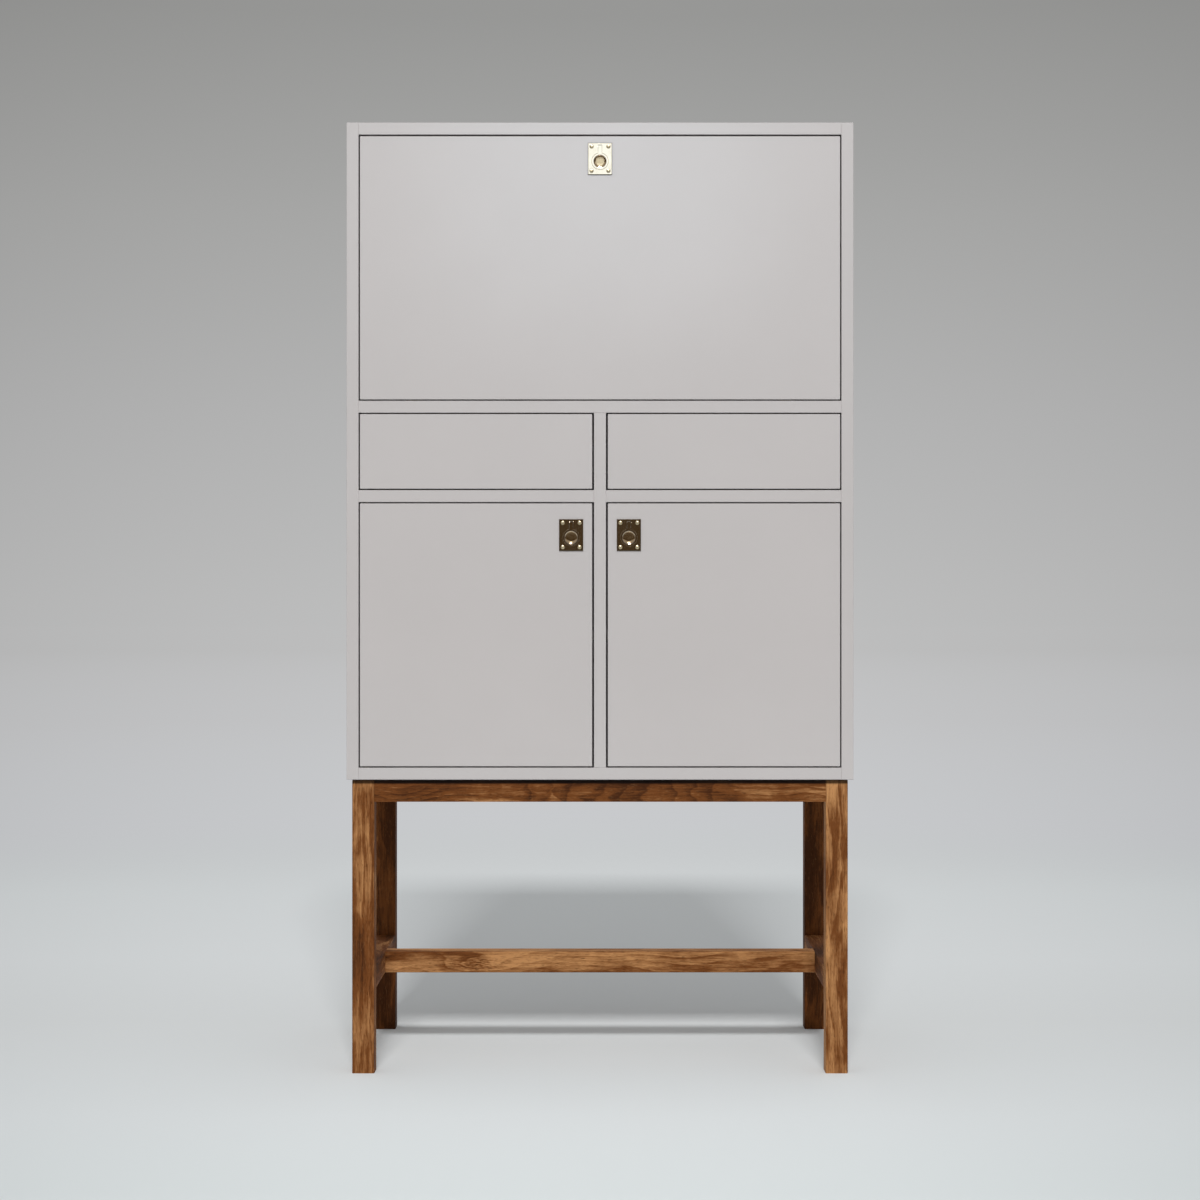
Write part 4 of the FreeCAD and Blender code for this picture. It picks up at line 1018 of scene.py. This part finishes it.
# Floor colours as painted, by the place behind the object's middle, and as seen far away,
# by distance from that middle.
FLOOR_TONES = ((-0.9, (0.77, 0.815, 0.82)), (-0.5, (0.81, 0.845, 0.855)),
               (0.25, (0.80, 0.825, 0.83)), (0.9, (0.85, 0.88, 0.89)),
               (2.0, (0.87, 0.905, 0.915)), (3.0, (0.86, 0.885, 0.895)))
FAR_TONES = ((1.0, (0.604, 0.633, 0.640)), (1.9, (0.599, 0.626, 0.636)),
             (3.9, (0.578, 0.589, 0.605)), (10.3, (0.551, 0.554, 0.562)),
             (30.0, (0.515, 0.516, 0.517)))
FAR_FROM = 2.35    # distance at which the far colours set in
FAR_FULL = 4.1
FLOOR_NEAR = -6.0  # behind the camera, where the room is dark
FLOOR_FAR = 60.0
FLOOR_ROUGHNESS = 0.9
# Backdrop by the slope of the view above the horizon; both fade towards the sides.
BACKDROP_TONES = ((-0.2, (0.575, 0.586, 0.600)), (0.0, (0.508, 0.509, 0.509)),
                  (0.08, (0.457, 0.457, 0.457)), (0.166, (0.391, 0.391, 0.386)),
                  (0.25, (0.311, 0.311, 0.305)))
SIDE_FADE = 1.4
SIDE_LIMIT = 0.3          # sideways slope past which nothing fades further
ROOM_LIGHT = (0.425, 0.425, 0.425)
DARK_ROOM = (0.077, 0.052, 0.025)
DARK_FRONT = (0.55, 0.8)  # how squarely to the front, and how low, the room is dark
DARK_LOW = (0.09, 0.16)


def faded(tree, colour, aside, ahead):
    """The colour times 1 - SIDE_FADE x (sideways slope) squared."""
    slope = calculate(tree, "ABSOLUTE", calculate(tree, "DIVIDE", aside, ahead))
    slope = calculate(tree, "MINIMUM", slope, SIDE_LIMIT)
    square = times(tree, slope, slope)
    return scaled(tree, colour, total(tree, (-SIDE_FADE, square), 1.0))


def tones(tree, value, stops):
    """A colour that goes through these stops as the value rises."""
    first, last = stops[0][0], stops[-1][0]
    ramp = tree.nodes.new("ShaderNodeValToRGB")
    points = ramp.color_ramp.elements
    while len(points) < len(stops):
        points.new(0.5)
    for point, (place, colour) in zip(points, stops):
        point.position = (place - first) / (last - first)
        point.color = (*colour, 1.0)
    feed_all(tree, ramp, Fac=between(tree, value, first, last, smooth=False))
    return ramp.outputs["Color"]


def studio_floor():
    mesh = bpy.data.meshes.new("studio floor")
    corners = [(-FLOOR_FAR, FLOOR_NEAR, 0.0), (FLOOR_FAR, FLOOR_NEAR, 0.0),
               (FLOOR_FAR, FLOOR_FAR, 0.0), (-FLOOR_FAR, FLOOR_FAR, 0.0)]
    mesh.from_pydata(corners, [], [(0, 1, 2, 3)])
    floor = new_object("studio_floor", mesh)
    material, tree, shader = new_finish("studio floor")
    place = object_place(tree)
    aside, behind = axis_of(tree, place, "X"), axis_of(tree, place, "Y")
    ahead = calculate(tree, "SUBTRACT", behind, CAMERA_PLACE[1])
    feed_all(tree, shader, Roughness=FLOOR_ROUGHNESS, Specular_IOR_Level=0.0,
             Base_Color=faded(tree, tones(tree, behind, FLOOR_TONES), aside, ahead))
    distance = length_of(tree, place)
    glow = add_node(tree, "ShaderNodeEmission",
                    Color=faded(tree, tones(tree, distance, FAR_TONES), aside, ahead))
    path = tree.nodes.new("ShaderNodeLightPath")
    mix = tree.nodes.new("ShaderNodeMixShader")
    share = times(tree, between(tree, distance, FAR_FROM, FAR_FULL),
                  path.outputs["Is Camera Ray"])
    for socket, source in zip(mix.inputs, (share, shader.outputs[0], glow.outputs[0])):
        feed(tree, socket, source)
    feed_all(tree, tree.nodes["Material Output"], Surface=mix.outputs[0])
    mesh.materials.append(material)


def softbox(name, place, aim, power, width, height, tint=(1.0, 1.0, 1.0)):
    """A rectangular lamp, turned to the point it aims at."""
    light = bpy.data.lights.new(name, "AREA")
    light.shape = "RECTANGLE"
    light.size = width
    light.size_y = height
    light.energy = power
    light.color = tint
    lamp = new_object(name, light)
    lamp.location = place
    lamp.rotation_euler = (Vector(aim) - Vector(place)).to_track_quat("-Z", "Y").to_euler()


def room_light():
    """Even soft room; in front, low down, it is dark as behind a camera."""
    world = bpy.data.worlds.new("studio room")
    world.use_nodes = True
    bpy.context.scene.world = world
    tree = world.node_tree
    tree.nodes.clear()
    towards = tree.nodes.new("ShaderNodeTexCoord").outputs["Generated"]
    aside, ahead, height = [axis_of(tree, towards, axis) for axis in "XYZ"]
    front = between(tree, times(tree, ahead, -1.0), *DARK_FRONT)
    low_down = calculate(tree, "SUBTRACT", 1.0, between(tree, height, *DARK_LOW))
    dark = times(tree, front, low_down)
    room = blend_colours(tree, dark, ROOM_LIGHT, DARK_ROOM)
    seen = faded(tree, tones(tree, height, BACKDROP_TONES), aside, ahead)
    path = tree.nodes.new("ShaderNodeLightPath")
    colour = blend_colours(tree, path.outputs["Is Camera Ray"], room, seen)
    background = add_node(tree, "ShaderNodeBackground", Color=colour)
    add_node(tree, "ShaderNodeOutputWorld", Surface=background.outputs[0])


def studio_camera():
    lens = bpy.data.cameras.new("camera")
    lens.lens = CAMERA_LENS
    lens.sensor_width = CAMERA_SENSOR
    camera = new_object("camera", lens)
    camera.location = CAMERA_PLACE
    camera.rotation_euler = (radians(90), 0.0, 0.0)
    bpy.context.scene.camera = camera


studio_floor()
softbox("high softbox", place=(0.0, -9.9, 9.2), aim=(0.0, 0.0, 0.5), power=1060.0,
        width=2.9, height=1.45)
softbox("strip softbox", place=(0.0, -3.2, 2.04), aim=(0.0, 0.0, 2.04), power=3.9,
        width=0.95, height=0.86, tint=(0.84, 1.01, 1.12))
room_light()
studio_camera()
bpy.context.scene.view_settings.view_transform = "Standard"
